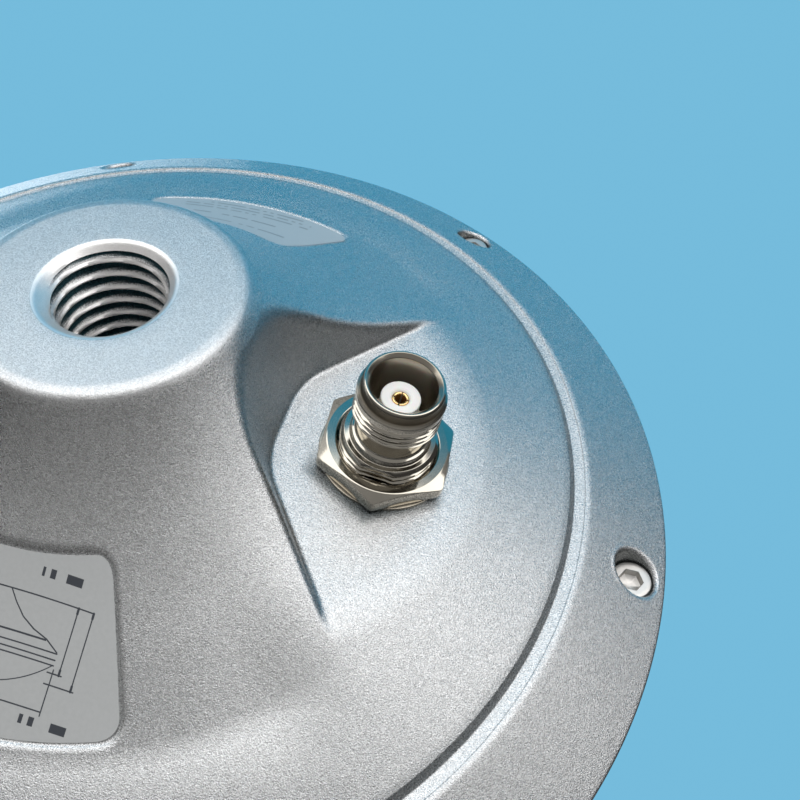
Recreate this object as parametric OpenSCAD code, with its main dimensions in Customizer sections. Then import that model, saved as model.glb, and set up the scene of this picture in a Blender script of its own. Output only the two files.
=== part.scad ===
// Survey antenna for satellite positioning, standing on its pole boss with the radome up.
// The origin is the centre of the boss face, where the antenna sits on its pole.
// The connector points along +X, and the two labels face +Y and -Y.

/* [Base casting] */
// Radius of the base at its rim
base_r = 76; // [73:0.5:80]
// Slope of the outer cone
cone_angle = 25.2; // [24.6:0.1:26]
// Depth below the boss face at which the cone would meet the antenna's axis
cone_tip = 0.3; // [0:0.01:0.8]
// Height of the base's straight rim band
rim_band = 2.6; // [2.2:0.1:4]
// Height of the spigot that centres the radome
spigot_h = 1.5; // [1:0.1:2.5]
// Thickness of the cast wall
base_wall = 3.2; // [2.6:0.1:3.8]
// Rounding of the rim's lower edge
rim_round = 0.6; // [0.3:0.1:1]
// Chamfer on each side of the parting line
parting_chamfer = 0.35; // [0.2:0.05:0.6]

/* [Pole boss] */
// Radius of the boss face
boss_r = 16.8; // [16.2:0.1:17.6]
// Rounding of the boss edge
boss_round = 0.35; // [0.2:0.05:1]
// Radius of the hollow flank between the boss and the cone
flank_round = 48; // [42:1:52]
// Major diameter of the pole thread
thread_d = 15.875; // [14:0.125:17]
// Depth of the pole thread
thread_depth = 19; // [15:0.5:22]
// Chamfer at the mouth of the pole thread
thread_chamfer = 0.3; // [0.2:0.05:0.8]
// Metal round the thread's blind end
boss_wall = 4.6; // [3.5:0.1:6]
// Metal over the thread's blind end
boss_floor = 3; // [2:0.1:4]
// Height of the solid foot of the boss
boss_solid = 14; // [12:0.5:16]

/* [Ring groove] */
// Radius of the groove's inner edge
groove_r = 60.6; // [59:0.1:61.4]
// Width of the groove's steep side
groove_run = 0.8; // [0.5:0.1:1.2]
// Depth of the groove's floor under its inner edge, along the antenna's axis
groove_depth = 1.05; // [0.7:0.05:1.3]
// Width of the groove's floor
groove_floor = 1.5; // [1:0.1:2]
// Height of the small shoulder on the outer side of the groove
shoulder_h = 0.15; // [0.1:0.05:0.4]
// Rounding between the shoulder and the rim's slope
shoulder_round = 2.2; // [1.2:0.1:3]
// Slope of the rim outside the groove
rim_angle = 29.5; // [28:0.5:31]

/* [Connector pad] */
// Distance of the connector from the antenna's axis
pad_r = 35; // [34:0.25:37]
// Depth of the pad under the cone at the connector, along the antenna's axis
pad_depth = 3.83; // [3.2:0.01:4.4]
// Tilt of the connector away from the antenna's axis
pad_tilt = 8.2; // [6:0.2:10]
// Distance from the connector to the pad's wall
pad_reach = 14; // [13:0.25:15]
// Radius of the two corners of the pad's wall
pad_corner = 12; // [9:0.5:13]
// Turn of each side wall from the end wall
pad_turn = 38; // [32:1:44]
// Distance from the connector to each side wall
pad_side = 15.3; // [14.5:0.1:16]
// Draft of the pad's walls
pad_draft = 18; // [14:1:22]

/* [Connector] */
// Length of the connector in front of the pad
conn_len = 15.2; // [14.2:0.1:16]
// Diameter of the coupling thread
coupling_d = 11.112; // [10.6:0.1:11.4]
// Length of the coupling thread and its lead-in
coupling_len = 4.1; // [3.5:0.1:5]
// Diameter of the lip at the mouth
lip_d = 10.2; // [9.8:0.1:10.5]
// Length of the lip
lip_len = 1.5; // [1:0.1:2]
// Bore of the shell
shell_bore = 8.2; // [7.8:0.1:8.5]
// Depth of the shell's bore
shell_depth = 8.3; // [7.5:0.1:9]
// Diameter of the neck behind the coupling thread
neck_d = 9.2; // [8.8:0.1:10]
// Diameter of the panel thread
panel_d = 12.7; // [12:0.1:13.4]
// Length of panel thread that stands out of the pad
panel_len = 4.8; // [4:0.1:5.6]
// Distance of the panel thread's flat from its axis
panel_flat = 5.7; // [5.2:0.1:6]
// Width across the flats of the panel nut
nut_flats = 16.5; // [15.5:0.1:17.5]
// Thickness of the panel nut
nut_h = 3; // [2.2:0.1:3.4]
// Turn of the panel nut's corners
nut_turn = 34; // [0:1:59]
// Diameter of the insulator
insulator_d = 5; // [4.4:0.1:5.2]
// Depth of the insulator's face below the mouth
insulator_drop = 2.9; // [2.4:0.1:3.6]
// Diameter of the centre contact
contact_d = 2.1; // [1.8:0.05:2.3]
// Bore of the centre contact
contact_bore = 1.35; // [1.1:0.05:1.4]
// Width across the flats of the flange inside the base
flange_flats = 17; // [16.4:0.1:18]
// Thickness of the flange inside the base
flange_h = 2.4; // [1.8:0.1:3]
// Thickness of the gasket under the flange
gasket_h = 0.8; // [0.5:0.1:1.2]
// Diameter of the rear ferrule
ferrule_d = 7; // [6.6:0.1:8]
// Length of the rear ferrule
ferrule_len = 3.6; // [3:0.1:4.4]

/* [Labels] */
// Inner radius of the label recesses
label_r1 = 28.6; // [27:0.2:31]
// Outer radius of the label recesses
label_r2 = 46.2; // [43:0.2:49]
// Half of the angle that a label recess covers
label_half = 23; // [16:1:26]
// Rounding of the recess corners
label_corner = 2.4; // [1.5:0.1:3.5]
// Depth of the label recesses
label_depth = 0.5; // [0.4:0.05:0.8]
// Thickness of the label film
film_t = 0.25; // [0.15:0.05:0.3]
// Room round each label in its recess
film_room = 0.15; // [0.1:0.05:0.3]

/* [Flange screws] */
// Number of flange screws
screw_count = 6; // [4:1:8]
// Distance of the screws from the rim
screw_inset = 4.8; // [4.4:0.1:5.2]
// Diameter of the flange screws
screw_d = 3; // [2.5:0.1:3.2]
// Diameter of their heads
screw_head_d = 5.5; // [5:0.1:5.7]
// Height of their heads
screw_head_h = 2; // [1.6:0.1:2.2]
// Width across the flats of their sockets
socket_flats = 2.9; // [2.4:0.1:3]
// Depth of their sockets
socket_depth = 1.3; // [1:0.1:1.4]
// Diameter of the counterbores
counterbore_d = 6.2; // [5.9:0.05:6.4]
// Metal between a counterbore and the parting line
counterbore_floor = 1; // [0.8:0.1:1.4]
// Length of the screws under the head
screw_len = 6; // [5.4:0.1:6.4]
// Length of the threaded inserts
insert_len = 4; // [3.6:0.1:4.4]
// Diameter of the threaded inserts
insert_d = 4.4; // [4.2:0.1:5]

/* [Radome] */
// Height of the radome's straight skirt
skirt_h = 6.6; // [6.2:0.1:8]
// Height of the radome's crown above its skirt
dome_rise = 22.6; // [21.6:0.2:26]
// Thickness of the radome
radome_wall = 2.5; // [2:0.1:2.8]
// Rounding between the skirt and the dome
dome_round = 1.6; // [1:0.1:2.4]
// Height of the moulded line above the parting line
line_h = 4.3; // [3.6:0.1:5]
// Depth of the moulded line
line_depth = 0.3; // [0.15:0.05:0.5]
// Thickness of the radome's flange
radome_flange_h = 5; // [4.8:0.1:5.6]
// Thickness of the pressed seal
seal_d = 1.3; // [1:0.05:1.6]
// Metal between the screw holes and the seal
seal_land = 0.9; // [0.6:0.1:1.4]
// Metal between the seal and the open inside
seal_wall = 0.8; // [0.6:0.1:1.4]

/* [Antenna stack] */
// Distance of the ground board's top below the top of the base
board_drop = 0.7; // [0.5:0.1:1.2]
// Thickness of every circuit board
board_t = 1.6; // [1.2:0.1:2]
// Room between the ground board and the base
board_room = 2.5; // [1.5:0.1:4]
// Distance of the board screws from the ground board's edge
pillar_inset = 8; // [7:0.25:10]
// Diameter of the cast pillars under the ground board
pillar_d = 7; // [6:0.25:8]
// Number of pillars
pillar_count = 6; // [3:1:6]
// Space under the lower patch
lower_gap = 10.4; // [9:0.2:11]
// Space between the patches
upper_gap = 4.4; // [3.8:0.2:4.8]
// Radius of the lower patch
lower_r = 47; // [44:0.5:49]
// Radius of the upper patch
upper_r = 36; // [33:0.5:38]
// Distance of the lower spacers from the lower patch's edge
lower_inset = 6; // [5:0.25:8]
// Distance of the upper spacers from the upper patch's edge
upper_inset = 8; // [6:0.25:10]
// Diameter of the spacers
spacer_d = 6; // [5:0.25:7]
// Diameter of the snap pins on the spacers
snap_d = 3; // [2.6:0.1:3.2]
// Radius of the circle of the feed pins
feed_circle_r = 13; // [11:0.5:15]
// Diameter of the feed pins
feed_d = 1.3; // [1:0.1:1.6]
// Diameter of the centre post
post_d = 8; // [7:0.25:9]

/* [Amplifier] */
// Length of the shield can
can_l = 46; // [40:1:48]
// Width of the shield can
can_w = 36; // [32:1:42]
// Height of the shield can
can_h = 5; // [4:0.25:6]
// Thickness of the shield can
can_t = 0.4; // [0.3:0.05:0.6]
// Distance of the can's near end from the antenna's axis
can_x = 8; // [6:0.5:9]
// Distance of the board socket from the antenna's axis
socket_x = 20; // [18:0.5:21]
// Diameter of the coaxial lead
lead_d = 2.6; // [2.2:0.1:3]
// Diameter of the lead's plug
plug_d = 5; // [4.4:0.1:6]
// Height of the lead's plug
plug_h = 3.6; // [3.2:0.1:4]

/* [Hidden] */
$fn = 96;
// Room between turned parts that fit into each other
fit = 0.05;
// Room round a screw in its clearance hole
screw_room = 0.2;
// How far a cutting shape runs past the face that it opens
over = 1;
// Edge of the large blocks that cut the pad
block = 120;

// Heights in the base
slope = tan(cone_angle);
function cone_z(r) = slope * r - cone_tip;
pad_z = cone_z(pad_r) + pad_depth;
function on_slant(d) = d / cos(cone_angle);

// The groove runs from its steep side over a flat floor to a small shoulder
groove_edge = [groove_r, cone_z(groove_r)];
groove_end = groove_r + groove_run;
groove_z = groove_edge[1] + groove_depth;
shoulder_r = groove_end + groove_floor;
shoulder_z = groove_z - shoulder_h;

// The shoulder rounds over into the rim's slope, which is rounded again where it meets the straight band
rim_out = [sin(rim_angle), -cos(rim_angle)];
shoulder_c = [shoulder_r, shoulder_z + shoulder_round];
shoulder_touch = shoulder_c + shoulder_round * rim_out;
function slope_z(r) = shoulder_touch[1] + (r - shoulder_touch[0]) * tan(rim_angle);
rim_z = slope_z(base_r);
rim_c = [base_r - rim_round, slope_z(base_r - rim_round) + rim_round / cos(rim_angle)];
parting_z = rim_z + rim_band;
top_z = parting_z + spigot_h;
spigot_r = base_r - radome_wall - fit;
screw_circle_r = base_r - screw_inset;
screw_hole_d = screw_d + 2 * screw_room;
seal_r = screw_circle_r - screw_hole_d / 2 - seal_land - seal_d / 2;
cavity_r = seal_r - seal_d / 2 - seal_wall;
core_r = thread_d / 2 + boss_wall;
core_z = thread_depth + boss_floor;

// The hollow flank is an arc that touches the cone and runs through the boss edge
cone_out = [sin(cone_angle), -cos(cone_angle)];
cone_along = [cos(cone_angle), sin(cone_angle)];
boss_from_edge = [boss_r, 0] - groove_edge;
boss_stands_out = boss_from_edge * cone_out;
touch_along = boss_from_edge * cone_along
    + sqrt(2 * flank_round * boss_stands_out - boss_stands_out * boss_stands_out);
touch = groove_edge + touch_along * cone_along;
flank_c = touch + flank_round * cone_out;
boss_round_c = [flank_c[0] - sqrt(pow(flank_round + boss_round, 2) - pow(flank_c[1] - boss_round, 2)),
    boss_round];
boss_touch = flank_c + flank_round * (boss_round_c - flank_c) / norm(boss_round_c - flank_c);

// Heights along the connector, from the pad
panel_back = base_wall + gasket_h;
flange_back = panel_back + flange_h;
rear = flange_back + ferrule_len;
shell_floor = conn_len - shell_depth;
neck_top = conn_len - lip_len - coupling_len - coupling_lead();
function coupling_lead() = (coupling_d - lip_d) / 2;
insulator_top = conn_len - insulator_drop;
insulator_back = flange_back + ferrule_len / 2;
contact_sink = 0.2;
contact_top = insulator_top - contact_sink;
contact_depth = 5;
contact_slot = 0.3;
nut_chamfer = 0.5;
nut_land = 0.45;
nut_bevel = 25;
panel_chamfer = 0.5;
neck_step = 0.6;
mouth_chamfer = 0.35;

// Heights of the screws, the seal and the radome
counterbore_z = parting_z - counterbore_floor;
corner_z = parting_z + skirt_h;
dome_r = (base_r * base_r + dome_rise * dome_rise) / (2 * dome_rise);
dome_c = corner_z + dome_rise - dome_r;
dome_round_c = [base_r - dome_round,
    dome_c + sqrt(pow(dome_r - dome_round, 2) - pow(base_r - dome_round, 2))];
radome_flange_z = top_z + radome_flange_h;
insert_drop = 0.3;

// Heights of the boards
board_z = top_z - board_drop - board_t;
board_top = board_z + board_t;
board_r = cavity_r - board_room;
lower_circle_r = lower_r - lower_inset;
upper_circle_r = upper_r - upper_inset;
pillar_circle_r = board_r - pillar_inset;
lower_z = board_top + lower_gap;
upper_z = lower_z + board_t + upper_gap;
upper_top = upper_z + board_t;
pilot_d = 2.5;
pilot_depth = 6;
board_screw_len = 5;
board_screw_head_d = 5.4;
board_screw_head_h = 1.9;
board_screw_slot = 0.8;
snap_grip = 0.5;
snap_head_d = snap_d + 2 * snap_grip;
snap_head_h = 1;
lower_turn = 45;
upper_turn = 0;
spacer_count = 4;
feed_count = 4;
feed_turn = 45;
feed_tail = 0.8;
feed_room = 1.35;
feed_clear_d = feed_d + 2 * feed_room;
post_neck_d = 5;
post_pin_d = 3;
post_head_d = 5;
post_head_h = 0.8;

// The lead leaves the ferrule along the connector's axis and enters the plug from the side
axis_in = [-sin(pad_tilt), 0, cos(pad_tilt)];
lead_start = [pad_r, 0, pad_z] + rear * axis_in;
socket_h = 1.2;
socket_d = 4.2;
plug_z = board_z - socket_h - plug_h;
barrel_wall = 0.5;
barrel_d = lead_d + 2 * barrel_wall;
barrel_len = 2.4;
lead_z = plug_z + plug_h / 2;
lead_end = [socket_x + plug_d / 2 + barrel_len, 0, lead_z];
lead_bend = 0.62 * (lead_z - lead_start[2]);
lead_sides = 8;
lead_steps = 14;

// The chips of the amplifier, as place and size on the board
chips = [[-16, 10, 5, 5], [-24, 10, 6, 5], [-32, 10, 4, 4], [-18, -9, 7, 6], [-29, -9, 6, 6]];
chip_h = 1.2;

// Copies round the antenna's axis
module ring_of(count, radius, turn = 0) {
    for (i = [0 : count - 1])
        rotate([0, 0, turn + i * 360 / count])
            translate([radius, 0, 0])
                children();
}

// A frame on the pad: +Z along the connector to its mouth, +X towards the antenna's axis
module at_pad() {
    translate([pad_r, 0, pad_z])
        rotate([0, 180 - pad_tilt, 0])
            children();
}

// Half of the base's outer section
module base_section() {
    difference() {
        union() {
            polygon([[0, 0], [boss_round_c[0], 0], boss_touch, touch, groove_edge,
                [shoulder_r, shoulder_z], shoulder_touch, rim_c + rim_round * rim_out,
                [base_r, rim_c[1]], [base_r, parting_z - parting_chamfer],
                [base_r - parting_chamfer, parting_z], [spigot_r, parting_z],
                [spigot_r, top_z], [0, top_z]]);
            translate(boss_round_c)
                circle(boss_round);
            translate(shoulder_c)
                circle(shoulder_round);
            translate(rim_c)
                circle(rim_round);
        }
        translate(flank_c)
            circle(flank_round, $fn = 360);
        polygon([groove_edge, [groove_end, groove_z], [shoulder_r, groove_z],
            [shoulder_r, shoulder_z - over], [groove_r, groove_edge[1] - over]]);
    }
}

// Half of the section of the open inside of the base
module cavity_section() {
    inner_z = on_slant(base_wall);
    floor_r = (boss_solid - inner_z + cone_tip) / slope;
    polygon([[core_r, boss_solid], [floor_r, boss_solid], [cavity_r, cone_z(cavity_r) + inner_z],
        [cavity_r, top_z + over], [0, top_z + over], [0, core_z], [core_r, core_z]]);
}

// Everything on the inner side of one drafted wall of the pad
module inside_wall(turn, reach) {
    rotate([0, 0, turn])
        translate([reach, 0, 0])
            rotate([0, pad_draft, 0])
                translate([-block, -block / 2, -block / 2])
                    cube(block);
}

// The space over the pad: an end wall and two side walls with cone-shaped corners
module pad_space(grow = 0) {
    corner_y = (pad_side - pad_corner - (pad_reach - pad_corner) * cos(pad_turn)) / sin(pad_turn);
    height = pad_z + block / 4;
    intersection() {
        translate([-block / 2, -block / 2, -grow])
            cube([block, block, height]);
        inside_wall(0, pad_reach + grow);
        inside_wall(pad_turn, pad_side + grow);
        inside_wall(-pad_turn, pad_side + grow);
        union() {
            translate([-block / 2, -corner_y, -block / 2])
                cube([block, 2 * corner_y, block]);
            for (side = [-1, 1])
                translate([pad_reach - pad_corner, side * corner_y, 0]) {
                    translate([0, 0, -grow])
                        cylinder(h = height, r1 = pad_corner + grow * (1 - tan(pad_draft)),
                            r2 = pad_corner + grow + (height - grow) * tan(pad_draft));
                    rotate([0, 0, side * pad_turn])
                        translate([-block / 2, side > 0 ? 0 : -block, -block / 2])
                            cube(block);
                }
        }
    }
}

// Half of the section of what lies deeper than a depth under the base's outer face, between two radii
module under_face(sunk, inner, outer, top) {
    difference() {
        polygon([[inner, 0], touch - sunk * cone_out, [outer, cone_z(outer) + on_slant(sunk)],
            [outer, top], [inner, top]]);
        translate(flank_c)
            circle(flank_round + sunk, $fn = 360);
    }
}

// What is cut from one corner of a label, seen along the antenna's axis
module corner_cut(radius, turn, out, side, corner) {
    lean = asin(corner / radius);
    reach = corner + over;
    rotate(side * (turn - lean))
        translate([radius, 0])
            difference() {
                polygon([[0, 0], [out * reach, 0], [out * reach, side * reach],
                    side * reach * [-side * sin(lean), cos(lean)]]);
                circle(corner - fit / 2);
            }
}

// A layer between two depths under the base's outer face, in the outline of a label that faces +Y
module label_layer(from, to, inset) {
    inner = label_r1 + inset;
    outer = label_r2 - inset;
    corner = label_corner - inset;
    half = label_half - inset / label_r1 * 180 / PI;
    rotate([0, 0, 90])
        difference() {
            rotate([0, 0, -half])
                rotate_extrude(angle = 2 * half)
                    difference() {
                        under_face(from, inner, outer, rim_z);
                        under_face(to, inner - over, outer + over, rim_z + over);
                    }
            linear_extrude(rim_z)
                for (side = [-1, 1]) {
                    corner_cut(inner + corner, half, -1, side, corner);
                    corner_cut(outer - corner, half, 1, side, corner);
                }
        }
}

module base() {
    color("silver")
        difference() {
            rotate_extrude()
                base_section();
            difference() {
                rotate_extrude()
                    cavity_section();
                at_pad()
                    pad_space(base_wall);
                ring_of(pillar_count, pillar_circle_r, 180 / pillar_count)
                    cylinder(d = pillar_d, h = board_z);
            }
            at_pad()
                pad_space();
            for (turn = [0, 180])
                rotate([0, 0, turn])
                    label_layer(-over, label_depth, 0);
            pole_hole();
            at_pad()
                translate([0, 0, -block / 8])
                    cylinder(d = panel_d + 4 * fit, h = block / 4);
            ring_of(screw_count, screw_circle_r) {
                cylinder(d = counterbore_d, h = counterbore_z);
                cylinder(d = screw_hole_d, h = top_z + over);
            }
            seal_groove();
            ring_of(pillar_count, pillar_circle_r, 180 / pillar_count)
                translate([0, 0, board_z - pilot_depth])
                    cylinder(d = pilot_d, h = pilot_depth + over);
        }
}

module pole_hole() {
    thread_r = thread_d / 2;
    cylinder(d = thread_d, h = thread_depth);
    translate([0, 0, -over])
        cylinder(r = thread_r + thread_chamfer, h = over);
    cylinder(r1 = thread_r + thread_chamfer, r2 = thread_r, h = thread_chamfer);
    translate([0, 0, thread_depth])
        cylinder(r1 = thread_r, r2 = 0, h = boss_floor / 2);
}

module seal_groove() {
    rotate_extrude()
        translate([seal_r - seal_d / 2 - fit, top_z - seal_d])
            square([seal_d + 2 * fit, seal_d + over]);
}

module radome() {
    color("white")
        difference() {
            rotate_extrude()
                radome_section();
            ring_of(screw_count, screw_circle_r)
                translate([0, 0, top_z - over])
                    cylinder(d = insert_d, h = over + insert_drop + insert_len);
        }
}

// Half of the radome's section: a spherical dome on a straight skirt with a flange inside
module radome_section() {
    difference() {
        union() {
            intersection() {
                translate([0, dome_c])
                    circle(dome_r, $fn = 720);
                polygon([[0, parting_z], [base_r - parting_chamfer, parting_z],
                    [base_r, parting_z + parting_chamfer], [base_r, dome_round_c[1]],
                    dome_round_c, dome_round_c + dome_round * dome_way(),
                    [0, corner_z + 2 * dome_rise]]);
            }
            translate(dome_round_c)
                circle(dome_round);
        }
        intersection() {
            translate([0, dome_c])
                circle(dome_r - radome_wall, $fn = 720);
            translate([0, radome_flange_z])
                square([base_r - radome_wall, 2 * dome_rise]);
        }
        square([cavity_r, radome_flange_z + fit]);
        square([spigot_r + fit, top_z]);
        polygon([[base_r - line_depth, parting_z + line_h], [base_r + over, parting_z + line_h - over],
            [base_r + over, parting_z + line_h + over]]);
    }
}

// Direction from the dome's centre to the rounding between skirt and dome
function dome_way() = (dome_round_c - [0, dome_c]) / norm(dome_round_c - [0, dome_c]);

module radome_inserts() {
    color("goldenrod")
        ring_of(screw_count, screw_circle_r)
            translate([0, 0, top_z + insert_drop])
                difference() {
                    cylinder(d = insert_d, h = insert_len);
                    translate([0, 0, -over])
                        cylinder(d = screw_d + 2 * fit, h = insert_len + 2 * over);
                }
}

module flange_seal() {
    color("dimgray")
        rotate_extrude()
            translate([seal_r, top_z - seal_d / 2])
                circle(d = seal_d, $fn = 24);
}

module flange_screws() {
    color("gainsboro")
        ring_of(screw_count, screw_circle_r)
            translate([0, 0, counterbore_z]) {
                cylinder(d = screw_d, h = screw_len);
                translate([0, 0, -screw_head_h])
                    difference() {
                        screw_head();
                        translate([0, 0, -over])
                            cylinder(d = socket_flats / cos(30), h = socket_depth + over, $fn = 6);
                    }
            }
}

// Round head with a small chamfer on its outer edge
module screw_head() {
    chamfer = 0.3;
    cylinder(d1 = screw_head_d - 2 * chamfer, d2 = screw_head_d, h = chamfer);
    translate([0, 0, chamfer])
        cylinder(d = screw_head_d, h = screw_head_h - chamfer);
}

module connector_shell() {
    color("lightgray")
        at_pad()
            difference() {
                union() {
                    rotate_extrude()
                        shell_section();
                    translate([0, 0, -flange_back])
                        cylinder(d = flange_flats / cos(30), h = flange_h, $fn = 6);
                }
                translate([-block / 2, panel_flat, -panel_back])
                    cube([block, block, panel_back + panel_len - panel_chamfer]);
                translate([0, 0, -rear - over])
                    cylinder(d = insulator_d + 2 * fit, h = rear + shell_floor + 2 * over);
                translate([0, 0, shell_floor])
                    cylinder(d = shell_bore, h = shell_depth + over);
                translate([0, 0, conn_len - mouth_chamfer])
                    cylinder(d1 = shell_bore, d2 = shell_bore + 2 * mouth_chamfer + 2 * over * tan(45),
                        h = mouth_chamfer + over);
            }
}

// Half of the shell's outer section, from the rear ferrule to the mouth
module shell_section() {
    lead = coupling_lead();
    lip_r = lip_d / 2;
    lip_edge = 0.2;
    polygon([[0, -rear], [ferrule_d / 2, -rear], [ferrule_d / 2, -panel_back],
        [panel_d / 2, -panel_back], [panel_d / 2, panel_len - panel_chamfer],
        [panel_d / 2 - panel_chamfer, panel_len], [neck_d / 2 + neck_step, panel_len],
        [neck_d / 2 + neck_step, panel_len + neck_step], [neck_d / 2, panel_len + neck_step],
        [neck_d / 2, neck_top], [coupling_d / 2 - lead, neck_top], [coupling_d / 2, neck_top + lead],
        [coupling_d / 2, conn_len - lip_len - lead], [lip_r, conn_len - lip_len],
        [lip_r, conn_len - lip_edge], [lip_r - lip_edge, conn_len], [0, conn_len]]);
}

module connector_insulator() {
    color("whitesmoke")
        at_pad()
            translate([0, 0, -insulator_back])
                difference() {
                    cylinder(d = insulator_d, h = insulator_back + insulator_top);
                    translate([0, 0, -over])
                        cylinder(d = contact_d + 2 * fit, h = insulator_back + insulator_top + 2 * over);
                }
}

module connector_contact() {
    color("gold")
        at_pad()
            difference() {
                translate([0, 0, -rear])
                    cylinder(d = contact_d, h = rear + contact_top);
                translate([0, 0, contact_top - contact_depth])
                    cylinder(d = contact_bore, h = contact_depth + over);
                for (turn = [0, 90])
                    rotate([0, 0, turn + 45])
                        translate([-contact_d, -contact_slot / 2, contact_top - contact_depth])
                            cube([2 * contact_d, contact_slot, contact_depth + over]);
            }
}

module connector_nut() {
    corner_r = nut_flats / 2 / cos(30);
    face_r = nut_flats / 2 - nut_land;
    spread = 1 / tan(nut_bevel);
    color("lightgray")
        at_pad()
            difference() {
                intersection() {
                    rotate([0, 0, nut_turn])
                        cylinder(r = corner_r, h = nut_h, $fn = 6);
                    translate([0, 0, -over])
                        cylinder(r1 = face_r + spread * (nut_h + over), r2 = face_r, h = nut_h + over);
                }
                translate([0, 0, -over])
                    cylinder(d = panel_d + 2 * fit, h = nut_h + 2 * over);
                translate([0, 0, nut_h - nut_chamfer])
                    cylinder(d1 = panel_d, d2 = panel_d + 2 * nut_chamfer + 2 * over,
                        h = nut_chamfer + over);
            }
}

module connector_gasket() {
    color("dimgray")
        at_pad()
            translate([0, 0, -panel_back])
                difference() {
                    cylinder(d = flange_flats - over, h = gasket_h);
                    translate([0, 0, -over])
                        cylinder(d = panel_d + 2 * fit, h = gasket_h + 2 * over);
                }
}

// Film on the floor of a recess, with a thin bed of glue under it
module label_film() {
    label_layer(label_depth - fit - film_t, label_depth - fit, film_room);
}

module spec_label() {
    color("lightsteelblue")
        label_film();
}

module type_label() {
    color("lightsteelblue")
        rotate([0, 0, 180])
            label_film();
}

// A round board with its holes
module round_board(radius) {
    difference() {
        cylinder(r = radius, h = board_t);
        translate([0, 0, -over])
            linear_extrude(board_t + 2 * over)
                children();
    }
}

// Holes for the snap pins of one set of spacers
module snap_holes(circle_r, turn) {
    ring_of(spacer_count, circle_r, turn)
        circle(d = snap_d + 2 * fit);
}

module ground_board() {
    color("darkgreen")
        translate([0, 0, board_z])
            round_board(board_r) {
                ring_of(pillar_count, pillar_circle_r, 180 / pillar_count)
                    circle(d = screw_hole_d);
                snap_holes(lower_circle_r, lower_turn);
                ring_of(feed_count, feed_circle_r, feed_turn)
                    circle(d = feed_d + 2 * fit);
                circle(d = post_pin_d + 2 * fit);
            }
}

module board_screws() {
    color("gainsboro")
        ring_of(pillar_count, pillar_circle_r, 180 / pillar_count)
            translate([0, 0, board_top]) {
                translate([0, 0, -board_screw_len])
                    cylinder(d = pilot_d - 2 * fit, h = board_screw_len);
                difference() {
                    cylinder(d = board_screw_head_d, h = board_screw_head_h);
                    for (turn = [0, 90])
                        rotate([0, 0, turn])
                            translate([-pilot_d / 2, -board_screw_slot / 2, board_screw_head_h / 2])
                                cube([pilot_d, board_screw_slot, board_screw_head_h]);
                }
            }
}

module shield_can() {
    color("lightgray")
        translate([can_x - can_l, -can_w / 2, board_z - can_h])
            difference() {
                cube([can_l, can_w, can_h]);
                translate([can_t, can_t, can_t])
                    cube([can_l - 2 * can_t, can_w - 2 * can_t, can_h]);
            }
}

module amplifier_chips() {
    color("black")
        for (chip = chips)
            translate([chip[0] - chip[2] / 2, chip[1] - chip[3] / 2, board_z - chip_h])
                cube([chip[2], chip[3], chip_h]);
}

module lower_patch() {
    color("goldenrod")
        translate([0, 0, lower_z])
            round_board(lower_r) {
                snap_holes(lower_circle_r, lower_turn);
                snap_holes(upper_circle_r, upper_turn);
                ring_of(feed_count, feed_circle_r, feed_turn)
                    circle(d = feed_clear_d);
                circle(d = post_neck_d + 2 * fit);
            }
}

module upper_patch() {
    color("goldenrod")
        translate([0, 0, upper_z])
            round_board(upper_r) {
                snap_holes(upper_circle_r, upper_turn);
                ring_of(feed_count, feed_circle_r, feed_turn)
                    circle(d = feed_d + 2 * fit);
                circle(d = post_pin_d + 2 * fit);
            }
}

// Spacers with a snap pin and head at both ends
module spacers(circle_r, turn, from, gap) {
    ring_of(spacer_count, circle_r, turn)
        translate([0, 0, from]) {
            cylinder(d = spacer_d, h = gap);
            translate([0, 0, -board_t])
                cylinder(d = snap_d, h = gap + 2 * board_t);
            for (z = [-board_t - snap_head_h, gap + board_t])
                translate([0, 0, z])
                    cylinder(d = snap_head_d, h = snap_head_h);
        }
}

module lower_spacers() {
    color("ivory")
        spacers(lower_circle_r, lower_turn, board_top, lower_gap);
}

module upper_spacers() {
    color("ivory")
        spacers(upper_circle_r, upper_turn, lower_z + board_t, upper_gap);
}

module feed_pins() {
    color("gold")
        ring_of(feed_count, feed_circle_r, feed_turn)
            translate([0, 0, board_z - feed_tail])
                cylinder(d = feed_d, h = upper_top - board_z + 2 * feed_tail);
}

// Turned post that ties the middle of both patches to the ground board
module centre_post() {
    color("gainsboro") {
        translate([0, 0, board_top])
            cylinder(d = post_d, h = lower_gap);
        translate([0, 0, board_top])
            cylinder(d = post_neck_d, h = upper_z - board_top);
        translate([0, 0, board_z])
            cylinder(d = post_pin_d, h = upper_top - board_z);
        for (z = [board_z - post_head_h, upper_top])
            translate([0, 0, z])
                cylinder(d = post_head_d, h = post_head_h);
    }
}

module board_socket() {
    color("gold")
        translate([socket_x, 0, board_z - socket_h])
            cylinder(d = socket_d, h = socket_h);
}

module lead_plug() {
    color("gold")
        translate([socket_x, 0, 0]) {
            translate([0, 0, plug_z])
                cylinder(d = plug_d, h = plug_h);
            translate([0, 0, lead_z])
                rotate([0, 90, 0])
                    cylinder(d = barrel_d, h = plug_d / 2 + barrel_len);
        }
}

// The lead's middle line, a curve between its two straight ends, and its direction
lead_hold = [lead_start, lead_start + lead_bend * axis_in, lead_end + [lead_bend, 0, 0], lead_end];
function lead_at(t) = pow(1 - t, 3) * lead_hold[0] + 3 * t * pow(1 - t, 2) * lead_hold[1]
    + 3 * t * t * (1 - t) * lead_hold[2] + pow(t, 3) * lead_hold[3];
function lead_way(t) = pow(1 - t, 2) * (lead_hold[1] - lead_hold[0])
    + 2 * t * (1 - t) * (lead_hold[2] - lead_hold[1]) + t * t * (lead_hold[3] - lead_hold[2]);
function lead_side(t) = [lead_way(t)[2], 0, -lead_way(t)[0]] / norm(lead_way(t));

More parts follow.
